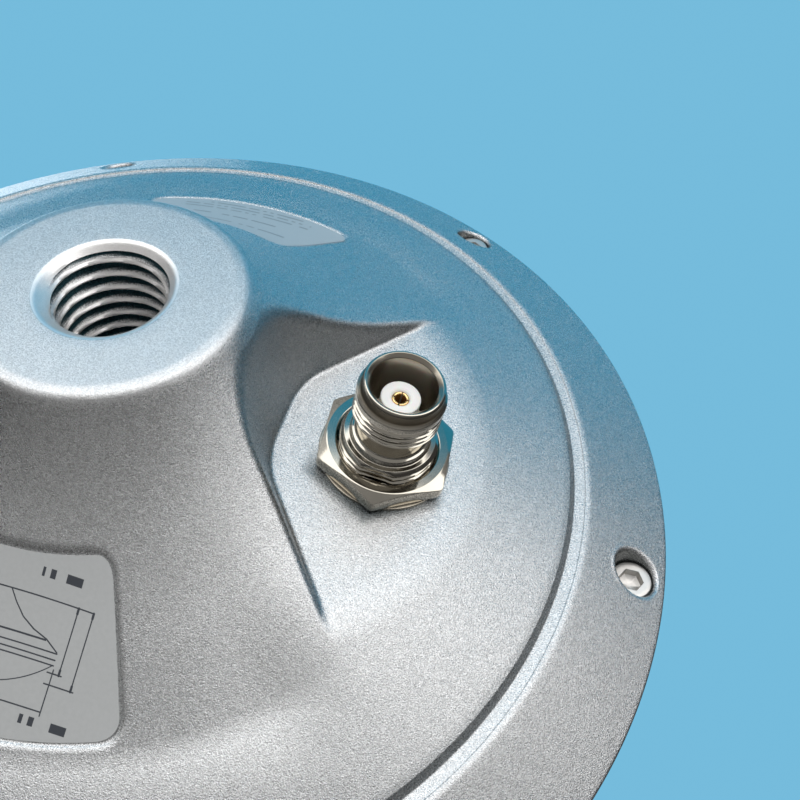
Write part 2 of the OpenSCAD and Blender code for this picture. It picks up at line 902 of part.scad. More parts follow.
module coax_lead() {
    points = [for (i = [0 : lead_steps], k = [0 : lead_sides - 1])
        lead_at(i / lead_steps) + lead_d / 2
            * (cos(k * 360 / lead_sides) * lead_side(i / lead_steps) + [0, sin(k * 360 / lead_sides), 0])];
    walls = [for (i = [0 : lead_steps - 1], k = [0 : lead_sides - 1])
        let (next = (k + 1) % lead_sides, low = i * lead_sides, high = low + lead_sides)
            [low + k, high + k, high + next, low + next]];
    first = [for (k = [0 : lead_sides - 1]) k];
    last = [for (k = [0 : lead_sides - 1]) lead_steps * lead_sides + lead_sides - 1 - k];
    color("peru")
        polyhedron(points, concat(walls, [first, last]));
}

base();
radome();
radome_inserts();
flange_seal();
flange_screws();
connector_shell();
connector_insulator();
connector_contact();
connector_nut();
connector_gasket();
spec_label();
type_label();
ground_board();
board_screws();
shield_can();
amplifier_chips();
lower_patch();
upper_patch();
lower_spacers();
upper_spacers();
feed_pins();
centre_post();
board_socket();
lead_plug();
coax_lead();
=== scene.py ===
"""Looks of a survey antenna that stands on its pole boss, with the radome up and the connector towards +X.

Sections are in millimetres and become metres where a piece is made. The base, radome, connector, nut,
screws and labels are worked out here as fine surfaces; what is sealed inside keeps its solid.
"""
import math

import bmesh
import bpy
import numpy as np
from mathutils import Matrix, Vector


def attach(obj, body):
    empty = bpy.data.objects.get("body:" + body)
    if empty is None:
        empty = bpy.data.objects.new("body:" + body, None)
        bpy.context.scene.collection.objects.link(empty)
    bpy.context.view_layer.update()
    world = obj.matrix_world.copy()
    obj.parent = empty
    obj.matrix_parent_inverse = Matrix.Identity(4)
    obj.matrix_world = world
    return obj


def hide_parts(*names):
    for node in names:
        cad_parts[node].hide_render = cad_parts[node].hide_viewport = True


MM = 0.001
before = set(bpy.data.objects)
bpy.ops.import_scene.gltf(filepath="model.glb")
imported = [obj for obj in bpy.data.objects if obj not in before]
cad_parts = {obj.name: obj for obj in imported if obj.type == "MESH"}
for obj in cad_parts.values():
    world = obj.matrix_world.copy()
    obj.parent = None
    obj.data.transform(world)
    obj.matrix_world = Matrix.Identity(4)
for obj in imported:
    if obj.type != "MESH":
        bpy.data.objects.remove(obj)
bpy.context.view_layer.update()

# The outer cone of the base
CONE = math.radians(25.2)
CONE_TIP = 0.3


def cone_z(r):
    """Height of the outer cone at a radius: a straight rise from its tip under the boss face."""
    return math.tan(CONE) * r - CONE_TIP


# Sizes of the base, as in the part's source
BASE_R = 76.0
GROOVE_R = 60.6
GROOVE_END = 61.4
GROOVE_DEPTH = 1.05
GROOVE_Z = cone_z(GROOVE_R) + GROOVE_DEPTH
SHOULDER_R = 62.9
SHOULDER_Z = GROOVE_Z - 0.15
SHOULDER_ROUND = 2.2
RIM_ANGLE = math.radians(29.5)
SLOPE_R = SHOULDER_R + SHOULDER_ROUND * math.sin(RIM_ANGLE)
SLOPE_Z = SHOULDER_Z + SHOULDER_ROUND * (1 - math.cos(RIM_ANGLE))
RIM_Z = SLOPE_Z + math.tan(RIM_ANGLE) * (BASE_R - SLOPE_R)
RIM_ROUND = 0.6
RIM_INSET = 0.8
PARTING_Z = RIM_Z + 2.6
PARTING_ROUND = 0.4
TOP_Z = PARTING_Z + 1.5
SPIGOT_R = BASE_R - 2.55
CAVITY_R = 66.5
CAVITY_FLOOR_R = 46.5
CAVITY_WALL = 3.2
BOSS_R = 16.8
BOSS_ROUND = 0.45
FLANK_ROUND = 48.0
SCREW_R = 71.2
COUNTERBORE_R = 3.1
COUNTERBORE_Z = PARTING_Z - 1.0
COUNTERBORE_SOFT = 0.7

# The worn edge of the boss face: a slope that starts softly at a radius
WORN_R = 15.4
WORN_REACH = 1.8
WORN_SLOPE = 0.17
WORN_SOFT = 0.3

# The pole thread and its rounded, bevelled mouth
THREAD_R = 7.9375
THREAD_PITCH = 25.4 / 11
THREAD_HIGH = 1.22
THREAD_FLAT = 0.10
THREAD_DEPTH = 19.0
THREAD_TIP = 1.5
THREAD_START = 0.3
THREAD_FADE = (0.5, 1.2)
THREAD_STEPS = 10
MOUTH_R = 8.7
MOUTH_ROUND = 1.0
MOUTH_LEAN = math.radians(43)
BEVEL_STEP = 0.12

# The label recesses: a sector with round corners, and the run of its soft wall across its outline
LABEL_R1 = 28.6
LABEL_R2 = 46.2
LABEL_MID = 37.4
LABEL_HALF = math.radians(23)
LABEL_CORNER = 2.4
LABEL_DEPTH = 0.5
LABEL_WALL = (-0.55, 0.45)
FILM_INSET = 0.35
FILM_TOP = LABEL_DEPTH - 0.30
FILM_BOTTOM = LABEL_DEPTH - 0.05

# The connector's pad: its place, its tilt, its walls and the hole in it
PAD_R = 35.0
PAD_Z = cone_z(PAD_R) + 3.83
TILT = math.radians(8.2)
PAD_REACH = 14.0
PAD_CORNER = 12.0
PAD_TURN = math.radians(38)
PAD_SIDE = 15.3
PAD_DRAFT = math.radians(18)
PAD_FOOT_ROUND = 0.5
PAD_EDGE_ROUND = 0.8
PAD_X = np.array([-math.cos(TILT), 0, -math.sin(TILT)])
PAD_Y = np.array([0.0, 1.0, 0.0])
PAD_AXIS = np.array([math.sin(TILT), 0, -math.cos(TILT)])
PAD_O = np.array([PAD_R, 0.0, PAD_Z])
HOLE_R = 6.5
HOLE_DEEP = 3.0

# The connector, along its own axis from the pad's floor
JACK_LENGTH = 15.2
JACK_REAR = -10.0
PANEL_THREAD_R = 6.35
COUPLING_THREAD_R = 5.556
JACK_PITCH = 25.4 / 28
JACK_THREAD_HIGH = 0.50
PANEL_FLAT = 5.95
NUT_FLAT = 8.25
NUT_TURN = math.radians(34)
NUT_TOP = 3.0
WASHER_R = 8.65
WASHER_BORE_R = 6.45
WASHER_HIGH = 0.45

# The hollow flank is an arc that runs through the boss edge and touches the cone
CONE_OUT = np.array([math.sin(CONE), -math.cos(CONE)])
CONE_ALONG = np.array([math.cos(CONE), math.sin(CONE)])
EDGE = np.array([GROOVE_R, cone_z(GROOVE_R)])
BOSS_FROM_EDGE = np.array([BOSS_R, 0]) - EDGE
STANDS_OUT = float(BOSS_FROM_EDGE @ CONE_OUT)
TOUCH_S = float(BOSS_FROM_EDGE @ CONE_ALONG) + math.sqrt(2 * FLANK_ROUND * STANDS_OUT - STANDS_OUT**2)
FLANK_C = EDGE + TOUCH_S * CONE_ALONG + FLANK_ROUND * CONE_OUT

# The cast flank is hollower than these main lines away from the pad, and ends in a soft crease on the cone
HOLLOW = 1.25
HOLLOW_START = 27.0
CREASE_R = 47.6
CREASE_SOFT = 0.31
HOLLOW_END = 58.0
HOLLOW_TURN = (math.radians(35), math.radians(50))


# Distances
def round_max(a, b, radius):
    """The larger of two distances, with the crease between them turned into an arc of a radius."""
    arc = np.hypot(np.maximum(a + radius, 0), np.maximum(b + radius, 0))
    return np.minimum(np.maximum(a, b), -radius) + arc


def smooth_step(low, high, x):
    """A rise from 0 to 1 between two values, level at both ends: t squared times (3 - 2 t)."""
    t = np.clip((x - low) / (high - low), 0, 1)
    return t * t * (3 - 2 * t)


def round_box(across, along, corner):
    """Distance to a box with round corners, by the distances past the centres of its corner circles."""
    outside = np.hypot(np.maximum(across, 0), np.maximum(along, 0))
    return outside + np.minimum(np.maximum(across, along), 0) - corner


def label_edge(r, turn):
    """Distance to a label's outline, negative inside: a box in arc length and radius with rounded corners."""
    side = np.abs(turn) * r - (LABEL_HALF * r - LABEL_CORNER)
    end = np.abs(r - (LABEL_R1 + LABEL_R2) / 2) - ((LABEL_R2 - LABEL_R1) / 2 - LABEL_CORNER)
    return round_box(side, end, LABEL_CORNER)


def flank_out(r, z):
    """Distance out of the flank: from the hollow arc up to its touching point, then from the cone."""
    along = (r - EDGE[0]) * CONE_ALONG[0] + (z - EDGE[1]) * CONE_ALONG[1]
    cone = (r - EDGE[0]) * CONE_OUT[0] + (z - EDGE[1]) * CONE_OUT[1]
    arc = FLANK_ROUND - np.hypot(r - FLANK_C[0], z - FLANK_C[1])
    return np.where(along < TOUCH_S, arc, cone)


def hollow(x, y):
    """Extra depth of the flank: the smaller of a sine-squared rise to the crease and a parabola back to 0.

    The crease between the two is softened, and the depth fades in with the turn from the pad.
    """
    r, turn = np.hypot(x, y), np.abs(np.arctan2(y, x))
    share = np.clip((r - HOLLOW_START) / (CREASE_R - HOLLOW_START), 0, 1)
    rise = HOLLOW * np.sin(share * math.pi / 2)**2
    fall = HOLLOW * (np.maximum(HOLLOW_END - r, 0) / (HOLLOW_END - CREASE_R))**2
    soft = CREASE_SOFT / 4 * np.maximum(1 - np.abs(rise - fall) / CREASE_SOFT, 0)**2
    return (np.minimum(rise, fall) - soft) * smooth_step(*HOLLOW_TURN, turn)


def over_pad(x, z):
    """Place in the pad's own frame: how far inwards along its floor, and how high over it along its axis."""
    dx, dz = x - PAD_R, z - PAD_Z
    return dx * PAD_X[0] + dz * PAD_X[2], dx * PAD_AXIS[0] + dz * PAD_AXIS[2]


def pad_outline(x, y):
    """Distance to the pad's foot line in its own plane: end wall, two turned side walls, round corners."""
    corner_x = PAD_REACH - PAD_CORNER
    corner_y = (PAD_SIDE - PAD_CORNER - corner_x * math.cos(PAD_TURN)) / math.sin(PAD_TURN)
    across = np.abs(y)
    vx, vy = x - corner_x, across - corner_y
    turn = np.arctan2(vy, vx)
    side = x * math.cos(PAD_TURN) + across * math.sin(PAD_TURN) - PAD_SIDE
    wall = np.where(turn < 0, x - PAD_REACH, np.hypot(vx, vy) - PAD_CORNER)
    return np.where(turn > PAD_TURN, side, wall)


def pad_wall(inward, y, up):
    """Distance to the pad's drafted wall, negative inside: it leans away from its foot line as it rises."""
    return pad_outline(inward, y) * math.cos(PAD_DRAFT) - up * math.sin(PAD_DRAFT)


def pad_space(x, y, z):
    """Distance to the space over the pad, negative inside: above its floor and within its walls."""
    inward, up = over_pad(x, z)
    return round_max(-up, pad_wall(inward, y, up), PAD_FOOT_ROUND)


def on_pad_wall(x, y, z):
    """1 on the pad's drafted walls and 0 elsewhere, by the distance to the wall and the height."""
    inward, up = over_pad(x, z)
    wall = pad_wall(inward, y, up)
    past = smooth_step(*WALL_SHADE_OUT, wall)
    return smooth_step(*WALL_SHADE_UP, up) * smooth_step(*WALL_SHADE_IN, wall) * (1 - past)


def hexagon_side(angles, turn):
    """Turn from the middle of the nearest side of a hexagon, which is itself turned."""
    return np.mod(angles - turn, math.pi / 3) - math.pi / 6


def beside_nut(x, y, z):
    """Distance outwards from the sides of the panel nut, in the pad's plane."""
    inward, _ = over_pad(x, z)
    return np.hypot(inward, y) * np.cos(hexagon_side(np.arctan2(y, inward), NUT_TURN)) - NUT_FLAT


def base_out(x, y, z, cuts=True):
    """Distance out of the base inside the groove: boss face and flank, less pad and label recesses."""
    r = np.hypot(x, y)
    flank = flank_out(r, z - hollow(x, y))
    if cuts:
        from_label = np.abs(np.arctan2(y, x)) - math.pi / 2
        flank = flank + LABEL_DEPTH * (1 - smooth_step(*LABEL_WALL, label_edge(r, from_label)))
    worn = WORN_SLOPE * (np.hypot(np.clip(r - WORN_R, 0, WORN_REACH), WORN_SOFT) - WORN_SOFT)
    out = round_max(worn - z, flank, BOSS_ROUND)
    return round_max(out, -pad_space(x, y, z), PAD_EDGE_ROUND) if cuts else out


# Heights that the base's outer face lies between, and how often that range is halved
LOWEST = -3.0
HIGHEST = 60.0
HALVINGS = 44


def on_base(x, y, sunk=0.0, cuts=True):
    """Points of the base's outer face over the plan, or of a face sunk under it.

    The height is found by halving the range that holds the zero distance. Past the cone it is the rim's line.
    """
    low, high = np.full(x.shape, LOWEST), np.full(x.shape, HIGHEST)
    for _ in range(HALVINGS):
        middle = (low + high) / 2
        outside = base_out(x, y, middle, cuts) + sunk > 0
        low, high = np.where(outside, middle, low), np.where(outside, high, middle)
    r = np.hypot(x, y)
    height = np.where(r > RIM_LINE[0, 0], np.interp(r, *RIM_LINE.T), (low + high) / 2)
    return np.stack([x, y, height], axis=-1)


def thread_form(phase, crest, root):
    """Share of the depth of a cut-off vee thread, 0 on its crest and 1 in its root, by the part of a turn."""
    away = np.abs(phase - np.floor(phase) - 0.5) * 2
    return np.clip((away - crest) / (1 - root - crest), 0, 1)


# Sections and grids
def soften(corners, steps=5):
    """A section through corners (r, z, radius), each turned by an arc that touches both of its runs."""
    corners = np.asarray(corners, float)
    line = [corners[:1, :2]]
    for before, here, after in zip(corners[:-2], corners[1:-1], corners[2:]):
        a, b = before[:2] - here[:2], after[:2] - here[:2]
        a, b = a / np.linalg.norm(a), b / np.linalg.norm(b)
        half = math.acos(np.clip(a @ b, -1, 1)) / 2
        if here[2] <= 0 or half > math.pi / 2 - 1e-3:
            line.append(here[None, :2])
            continue
        reach = here[2] / math.tan(half)
        middle = here[:2] + (a + b) / np.linalg.norm(a + b) * here[2] / math.sin(half)
        start = here[:2] + a * reach - middle
        end = here[:2] + b * reach - middle
        t = np.linspace(0, 1, steps + 1)[:, None]
        sweep = math.pi - 2 * half
        arc = (np.sin((1 - t) * sweep) * start + np.sin(t * sweep) * end) / math.sin(sweep)
        line.append(middle + arc)
    line.append(corners[-1:, :2])
    return np.concatenate(line)


def full_turn(count):
    """Equal angles once round."""
    return np.linspace(0, 2 * math.pi, count, endpoint=False)


def around(r, z, angles):
    """Points round the axis at a radius, a height and an angle: (r cos a, r sin a, z)."""
    return np.stack(np.broadcast_arrays(r * np.cos(angles), r * np.sin(angles), z), axis=-1)


def turn_section(section, angles):
    """A section of radius and height carried round the axis."""
    section = np.asarray(section, float)
    return around(section[:, :1], section[:, 1:], angles)


def even_rows(rows, count):
    """Radii and heights of rows of points, where a row gives each as one number or as one for each angle."""
    return (np.stack([np.broadcast_to(row[k], count) for row in rows]) for k in range(2))


def on_pad(points):
    """Points of the connector's own frame, set in place along its tilted axis."""
    points = np.asarray(points, float)
    return PAD_O + points[..., :1] * PAD_X + points[..., 1:2] * PAD_Y + points[..., 2:3] * PAD_AXIS


def grid_quads(rows, cols, first=0, wrap_rows=False, wrap_cols=True):
    """Corner numbers of the quads of a grid whose points are stored row by row."""
    i = np.arange(rows if wrap_rows else rows - 1)[:, None]
    j = np.arange(cols if wrap_cols else cols - 1)[None, :]
    i2, j2 = (i + 1) % rows, (j + 1) % cols
    quads = np.stack([i * cols + j, i * cols + j2, i2 * cols + j2, i2 * cols + j], axis=-1)
    return quads.reshape(-1, 4) + first


def cap(ring, tip):
    """Triangles from a closed ring of points to a tip."""
    return np.stack([ring, np.roll(ring, -1), np.full(len(ring), tip)], axis=-1)


def closed_ring(rows):
    """A mesh of rows whose section is a closed line: points and quads."""
    return rows, grid_quads(*rows.shape[:2], wrap_rows=True)


def capped_tube(rows, tips):
    """A mesh of rows that is closed at both ends by a fan to a tip: points, quads and triangles."""
    n, m = rows.shape[:2]
    tris = np.concatenate([cap(np.arange(m), n * m), cap((n - 1) * m + np.arange(m), n * m + 1)])
    return np.concatenate([rows.reshape(-1, 3), tips]), grid_quads(n, m), tris


def joined(meshes):
    """Several meshes as one: their points one after another, with the faces counted on."""
    starts = np.cumsum([0] + [len(points) for points, _, _ in meshes])
    points = np.concatenate([mesh[0] for mesh in meshes])
    quads, tris = (np.concatenate([mesh[k] + start for mesh, start in zip(meshes, starts)]) for k in (1, 2))
    return points, quads, tris


def piece(name, mesh, finish, slot, *nodes, sharp=38, uv=None, shade=None):
    """A closed mesh in metres at the origin, faces outwards, on the one body, in place of named solids."""
    points, *faces = mesh
    points = np.asarray(points, float).reshape(-1, 3) * MM
    data = bpy.data.meshes.new(name)
    data.from_pydata(points, [], [face for group in faces for face in group.tolist()])
    work = bmesh.new()
    work.from_mesh(data)
    bmesh.ops.recalc_face_normals(work, faces=work.faces)
    work.to_mesh(data)
    work.free()
    data.polygons.foreach_set("use_smooth", np.ones(len(data.polygons), bool))
    data.set_sharp_from_angle(angle=math.radians(sharp))
    if uv is not None:
        corners = np.zeros(len(data.loops), np.int64)
        data.loops.foreach_get("vertex_index", corners)
        layer = data.uv_layers.new(name="print")
        layer.data.foreach_set("uv", np.asarray(uv, np.float32)[corners].ravel())
    if shade is not None:
        shade = np.broadcast_to(shade, len(points)).astype(np.float32)
        data.attributes.new("shade", "FLOAT", "POINT").data.foreach_set("value", shade)
    obj = bpy.data.objects.new(name, data)
    bpy.context.scene.collection.objects.link(obj)
    data.materials.append(finish.material)
    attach(obj, "root")
    if nodes:
        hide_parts(*nodes)


# Shader maths
class Value:
    """A shader socket that takes part in plain sums; each operator adds one Math node."""

    def __init__(self, finish, socket):
        self.finish, self.socket = finish, socket

    def apply(self, operation, *others):
        return self.finish.node("ShaderNodeMath", {"operation": operation}, dict(enumerate((self, *others))))

    def apply_after(self, operation, first):
        return self.finish.node("ShaderNodeMath", {"operation": operation}, {0: first, 1: self})

    def __add__(self, other):
        return self.apply("ADD", other)

    def __sub__(self, other):
        return self.apply("SUBTRACT", other)

    def __rsub__(self, other):
        return self.apply_after("SUBTRACT", other)

    def __mul__(self, other):
        return self.apply("MULTIPLY", other)

    def __truediv__(self, other):
        return self.apply("DIVIDE", other)

    def __rtruediv__(self, other):
        return self.apply_after("DIVIDE", other)

    def __lt__(self, other):
        return self.apply("LESS_THAN", other)

    def __gt__(self, other):
        return self.apply("GREATER_THAN", other)

    def __abs__(self):
        return self.apply("ABSOLUTE")

    __radd__ = __add__
    __rmul__ = __mul__

    def most(self, other):
        return self.apply("MAXIMUM", other)


class Nodes:
    """A node tree with one way to add a node, and short forms of the nodes that are used most."""

    def __init__(self, tree):
        self.tree = tree

    def node(self, kind, settings=None, inputs=None, output=0):
        """Adds a node: its settings first, then the values or links of its sockets."""
        made = self.tree.nodes.new(kind)
        for key, value in (settings or {}).items():
            setattr(made, key, value)
        for key, value in (inputs or {}).items():
            if isinstance(value, Value):
                self.tree.links.new(value.socket, made.inputs[key])
            else:
                made.inputs[key].default_value = value
        return None if output is None else Value(self, made.outputs[output])

    def axes(self, vector):
        """The three parts of a vector."""
        outputs = self.node("ShaderNodeSeparateXYZ", {}, {0: vector}).socket.node.outputs
        return tuple(Value(self, outputs[k]) for k in range(3))

    def blend(self, share, first, second):
        """A colour between two colours."""
        settings = {"data_type": "RGBA", "clamp_factor": True}
        tone = [c if isinstance(c, Value) else (*c, 1) for c in (first, second)]
        return self.node("ShaderNodeMix", settings, {0: share, 6: tone[0], 7: tone[1]}, 2)

    def range(self, value, low, high, to_low=0.0, to_high=1.0, shape="LINEAR"):
        """A value moved from one range to another, held at both ends."""
        names = ("Value", "From Min", "From Max", "To Min", "To Max")
        inputs = dict(zip(names, (value, low, high, to_low, to_high)))
        return self.node("ShaderNodeMapRange", {"interpolation_type": shape}, inputs)


class Finish(Nodes):
    """A material: its shader with constant sockets set, and what feeds those that change over the surface."""

    def __init__(self, name, **constants):
        self.material = bpy.data.materials.new(name)
        self.material.use_nodes = True
        super().__init__(self.material.node_tree)
        self.shader = self.tree.nodes["Principled BSDF"]
        for socket, value in constants.items():
            self.shader.inputs[socket.replace("_", " ")].default_value = value

    def place(self):
        return self.node("ShaderNodeTexCoord", output="Object")

    def shade(self):
        """The piece's own attribute of painted shading, or 0 where it has none."""
        return self.node("ShaderNodeAttribute", {"attribute_name": "shade"}, output="Fac")

    def noise(self, scale, detail=2.0, rough=0.5, vector=None):
        """Soft noise with cells of about 1 / scale metres, between 0 and 1."""
        inputs = {"Vector": vector or self.place(), "Scale": scale, "Detail": detail, "Roughness": rough}
        return self.node("ShaderNodeTexNoise", {}, inputs)

    def cells(self, scale):
        """One grey value for each small cell, as on a surface of grains."""
        colour = self.node("ShaderNodeTexVoronoi", {}, {"Vector": self.place(), "Scale": scale}, "Color")
        return self.axes(colour)[0]

    def feed(self, socket, value):
        self.tree.links.new(value.socket, self.shader.inputs[socket])

    def bump(self, height, depth, strength=1.0):
        """Turns a height into a Normal; depth is the height of a step of one, in metres."""
        inputs = {"Height": height, "Distance": depth, "Strength": strength}
        self.feed("Normal", self.node("ShaderNodeBump", {}, inputs, "Normal"))


# Finishes
def cast_silver():
    """Silver lacquer over a blasted casting: small flakes of slightly different tone, gloss and tilt.

    The painted shading goes from -1, a painted highlight that lifts the tone towards white, to 1, a
    painted shade that darkens it towards dark teal. The painted highlight and the boss face are smoother than
    the rest.
    """
    f = Finish("cast_silver", Metallic=1.0)
    flakes, grain, cloud = f.cells(8000), f.noise(6500, 2, 0.6), f.noise(60, 2)
    tone = f.range(flakes * 0.5 + grain * 0.5, 0.3, 0.7)
    lacquer = f.blend(tone, (0.54, 0.54, 0.54), (0.78, 0.78, 0.78))
    shade = f.shade()
    # painted highlight where the painted shading is below 0, and painted shade where it is above 0
    metal = f.blend(0 - shade, lacquer, (0.98, 0.96, 0.94))
    f.feed("Base Color", f.blend(shade, metal, (0.015, 0.04, 0.048)))
    height = f.axes(f.place())[2]
    coarse = f.range(shade, -0.6, 0, 0.3, 1) * f.range(height, 0.1 * MM, 1.2 * MM, 0.72, 1)
    f.feed("Roughness", 0.42 - coarse * 0.20 + flakes * 0.06 + cloud * 0.05)
    f.bump((grain + flakes * 0.4) * coarse, 0.068 * MM)
    return f


def moulded_white():
    """White radome plastic with a fine spark-eroded grain and faint flow in its tone."""
    f = Finish("moulded_white", Specular_IOR_Level=0.45)
    grain, flow = f.noise(1400, 2, 0.6), f.noise(14, 3)
    f.feed("Base Color", f.blend(flow, (0.80, 0.80, 0.785), (0.84, 0.84, 0.83)))
    f.feed("Roughness", 0.40 + grain * 0.12)
    f.bump(grain, 0.03 * MM, 0.6)
    return f


def plated(name, dull, bright, rough):
    """Plating over turned metal: fine rings round the connector's axis in gloss and height, and hazy spots.

    Where the painted shading rises to 1 the plating is painted dull brown, a painted shade.
    """
    f = Finish(name, Metallic=1.0)
    x, _, z = f.axes(f.place())
    along = (x - PAD_R * MM) * float(PAD_AXIS[0]) + (z - PAD_Z * MM) * float(PAD_AXIS[2])
    line = f.node("ShaderNodeCombineXYZ", {}, {2: along})
    rings, haze, shade = f.noise(9000, 2, 0.7, line), f.noise(260, 3), f.shade()
    # painted shade: dull brown where the painted shading rises to 1
    f.feed("Base Color", f.blend(shade, f.blend(haze, dull, bright), (0.20, 0.165, 0.115)))
    f.feed("Roughness", rough + rings * 0.08 + haze * 0.05 + shade * 0.3)
    f.bump(rings, 0.004 * MM, 0.5)
    return f


def white_insulator():
    """Waxy white fluoropolymer with a fine turned grain."""
    f = Finish("white_insulator", Specular_IOR_Level=0.4, Subsurface_Weight=0.2, Subsurface_Scale=0.6 * MM)
    cloud, fine = f.noise(600, 2), f.noise(5000, 2)
    f.feed("Base Color", f.blend(cloud, (0.86, 0.86, 0.84), (0.92, 0.92, 0.91)))
    f.feed("Roughness", 0.38 + fine * 0.15)
    f.bump(fine, 0.006 * MM, 0.4)
    return f


class PrintedFilm(Finish):
    """Light film with generic dark marks.

    The marks are laid out in the plan: (v sin a, v cos a), with v the radius and a the turn from the middle.
    """

    def __init__(self, name):
        super().__init__(name, Specular_IOR_Level=0.4)
        u, v, _ = self.axes(self.node("ShaderNodeUVMap", {"uv_map": "print"}))
        turn = u / LABEL_MID
        self.x, self.y = v * turn.apply("SINE"), v * turn.apply("COSINE")
        self.half = abs(self.x)

    def stroke(self, start, end, half=0.07, both=False):
        """Ink where the nearest point of a straight line is within half its width, on one side or both."""
        x, y = self.half if both else self.x, self.y
        run = np.subtract(end, start)
        pull = run / (run @ run)
        share = self.range((x - start[0]) * float(pull[0]) + (y - start[1]) * float(pull[1]), 0, 1)
        gap_x, gap_y = x - start[0] - share * float(run[0]), y - start[1] - share * float(run[1])
        return gap_x * gap_x + gap_y * gap_y < half * half

    def arc(self, middle, radius, half, start):
        """Ink along a circle round a point on the label's middle line, past a level."""
        rise = self.y - middle
        away = (self.half * self.half + rise * rise).apply("SQRT")
        return (abs(away - radius) < half) * (self.y > start)

    def bars(self, left, right, level, high=0.42):
        """A row of short bars of uneven length."""
        cell = (self.x / 0.62 + level * 7).apply("FLOOR")
        chance = self.node("ShaderNodeTexWhiteNoise", {"noise_dimensions": "1D"}, {"W": cell})
        return (self.x > left) * (self.x < right) * (abs(self.y - level) < high) * (chance > 0.2)

    def draw(self, marks, ink, dark, light):
        """Puts the marks on a film of two near tones."""
        drawn = marks[0]
        for mark in marks[1:]:
            drawn = drawn.most(mark)
        grain = self.noise(2200, 2)
        film = self.blend(grain, dark, light)
        self.feed("Base Color", self.blend(drawn * ink, film, (0.045, 0.05, 0.06)))
        self.feed("Roughness", 0.34 + grain * 0.12)
        self.bump(grain, 0.008 * MM, 0.4)


def outline_film(name):
    """The first label: a plain side outline of such an antenna with size lines, and four rows of bars."""
    f = PrintedFilm(name)
    side = [(1.6, 32.45), (2.5, 33.5), (3.7, 34.6), (5.2, 35.4), (6.9, 35.95), (8.4, 36.85)]
    marks = [f.stroke(start, end, both=True) for start, end in zip(side[:-1], side[1:])]
    marks += [f.stroke((0, level), (8.45, level), both=True) for level in (36.95, 37.55, 38.05)]
    marks.append(f.stroke((0, 36.05), (6.8, 36.05), 0.09, both=True))
    marks.append(f.stroke((0, 42.35), (8.55, 42.35), both=True))
    marks.append(f.stroke((8.6, 38.4), (8.6, 42.7), both=True))
    marks.append(f.arc(28.1, 12.98, 0.055, 38.0))
    base_line = 32.4
    marks.append(f.stroke((0, base_line), (10.9, base_line)))
    for place, top in ((9.3, 38.75), (11.0, 39.8)):
        marks += [f.stroke((place, base_line), (place, top)), f.stroke((8.0, top), (place + 0.3, top))]
        marks += [f.stroke((place, end), (place, end + 0.5), 0.13) for end in (base_line, top - 0.5)]
    rows = ((4.4, 9.0, 30.2), (6.5, 11.8, 43.4), (-11.5, -4.2, 43.4), (-9.0, -4.4, 30.2))
    marks += [f.bars(*row) for row in rows]
    f.draw(marks, 1.0, (0.38, 0.39, 0.39), (0.43, 0.44, 0.44))
    return f


def bar_film(name):
    """The second label: five faint rows of bars."""
    f = PrintedFilm(name)
    rows = ((9, 43.6), (11, 41.9), (11, 40.2), (7, 36.4), (10, 32.2))
    marks = [f.bars(-reach, reach, level, 0.3) for reach, level in rows]
    f.draw(marks, 0.45, (0.29, 0.38, 0.44), (0.33, 0.42, 0.48))
    return f


def plain_finish(name, dark, light, rough, metal=0.0, scale=900):
    """A moulded, plated or sheet surface: two near tones over a fine grain."""
    f = Finish(name, Metallic=metal)
    grain, cloud = f.noise(scale, 3), f.noise(scale / 12, 2)
    f.feed("Base Color", f.blend(cloud, dark, light))
    f.feed("Roughness", rough + grain * 0.15)
    f.bump(grain, 0.02 * MM, 0.4)
    return f


silver = cast_silver()
white = moulded_white()
nickel = plated("nickel_plating", (0.46, 0.43, 0.365), (0.59, 0.55, 0.48), 0.03)
gold = plated("gold_plating", (0.90, 0.57, 0.24), (1.0, 0.72, 0.36), 0.20)
insulator_white = white_insulator()
stainless = plain_finish("stainless_screws", (0.60, 0.58, 0.555), (0.70, 0.68, 0.65), 0.38, 1.0, 2500)

# The section outside the cone: steep side, floor and shoulder of the ring groove, then the rim's slope
RIM_LINE = soften([
    (HOLLOW_END, cone_z(HOLLOW_END), 0), (*EDGE, 0.3), (GROOVE_END, GROOVE_Z, 0.25),
    (SHOULDER_R - 0.03, GROOVE_Z, 0.03), (SHOULDER_R + 0.03, SHOULDER_Z, 0.08),
    (SHOULDER_R + SHOULDER_ROUND * math.tan(RIM_ANGLE / 2), SHOULDER_Z, 1.7),
    (BASE_R - RIM_INSET, RIM_Z - RIM_INSET * math.tan(RIM_ANGLE), 0)])

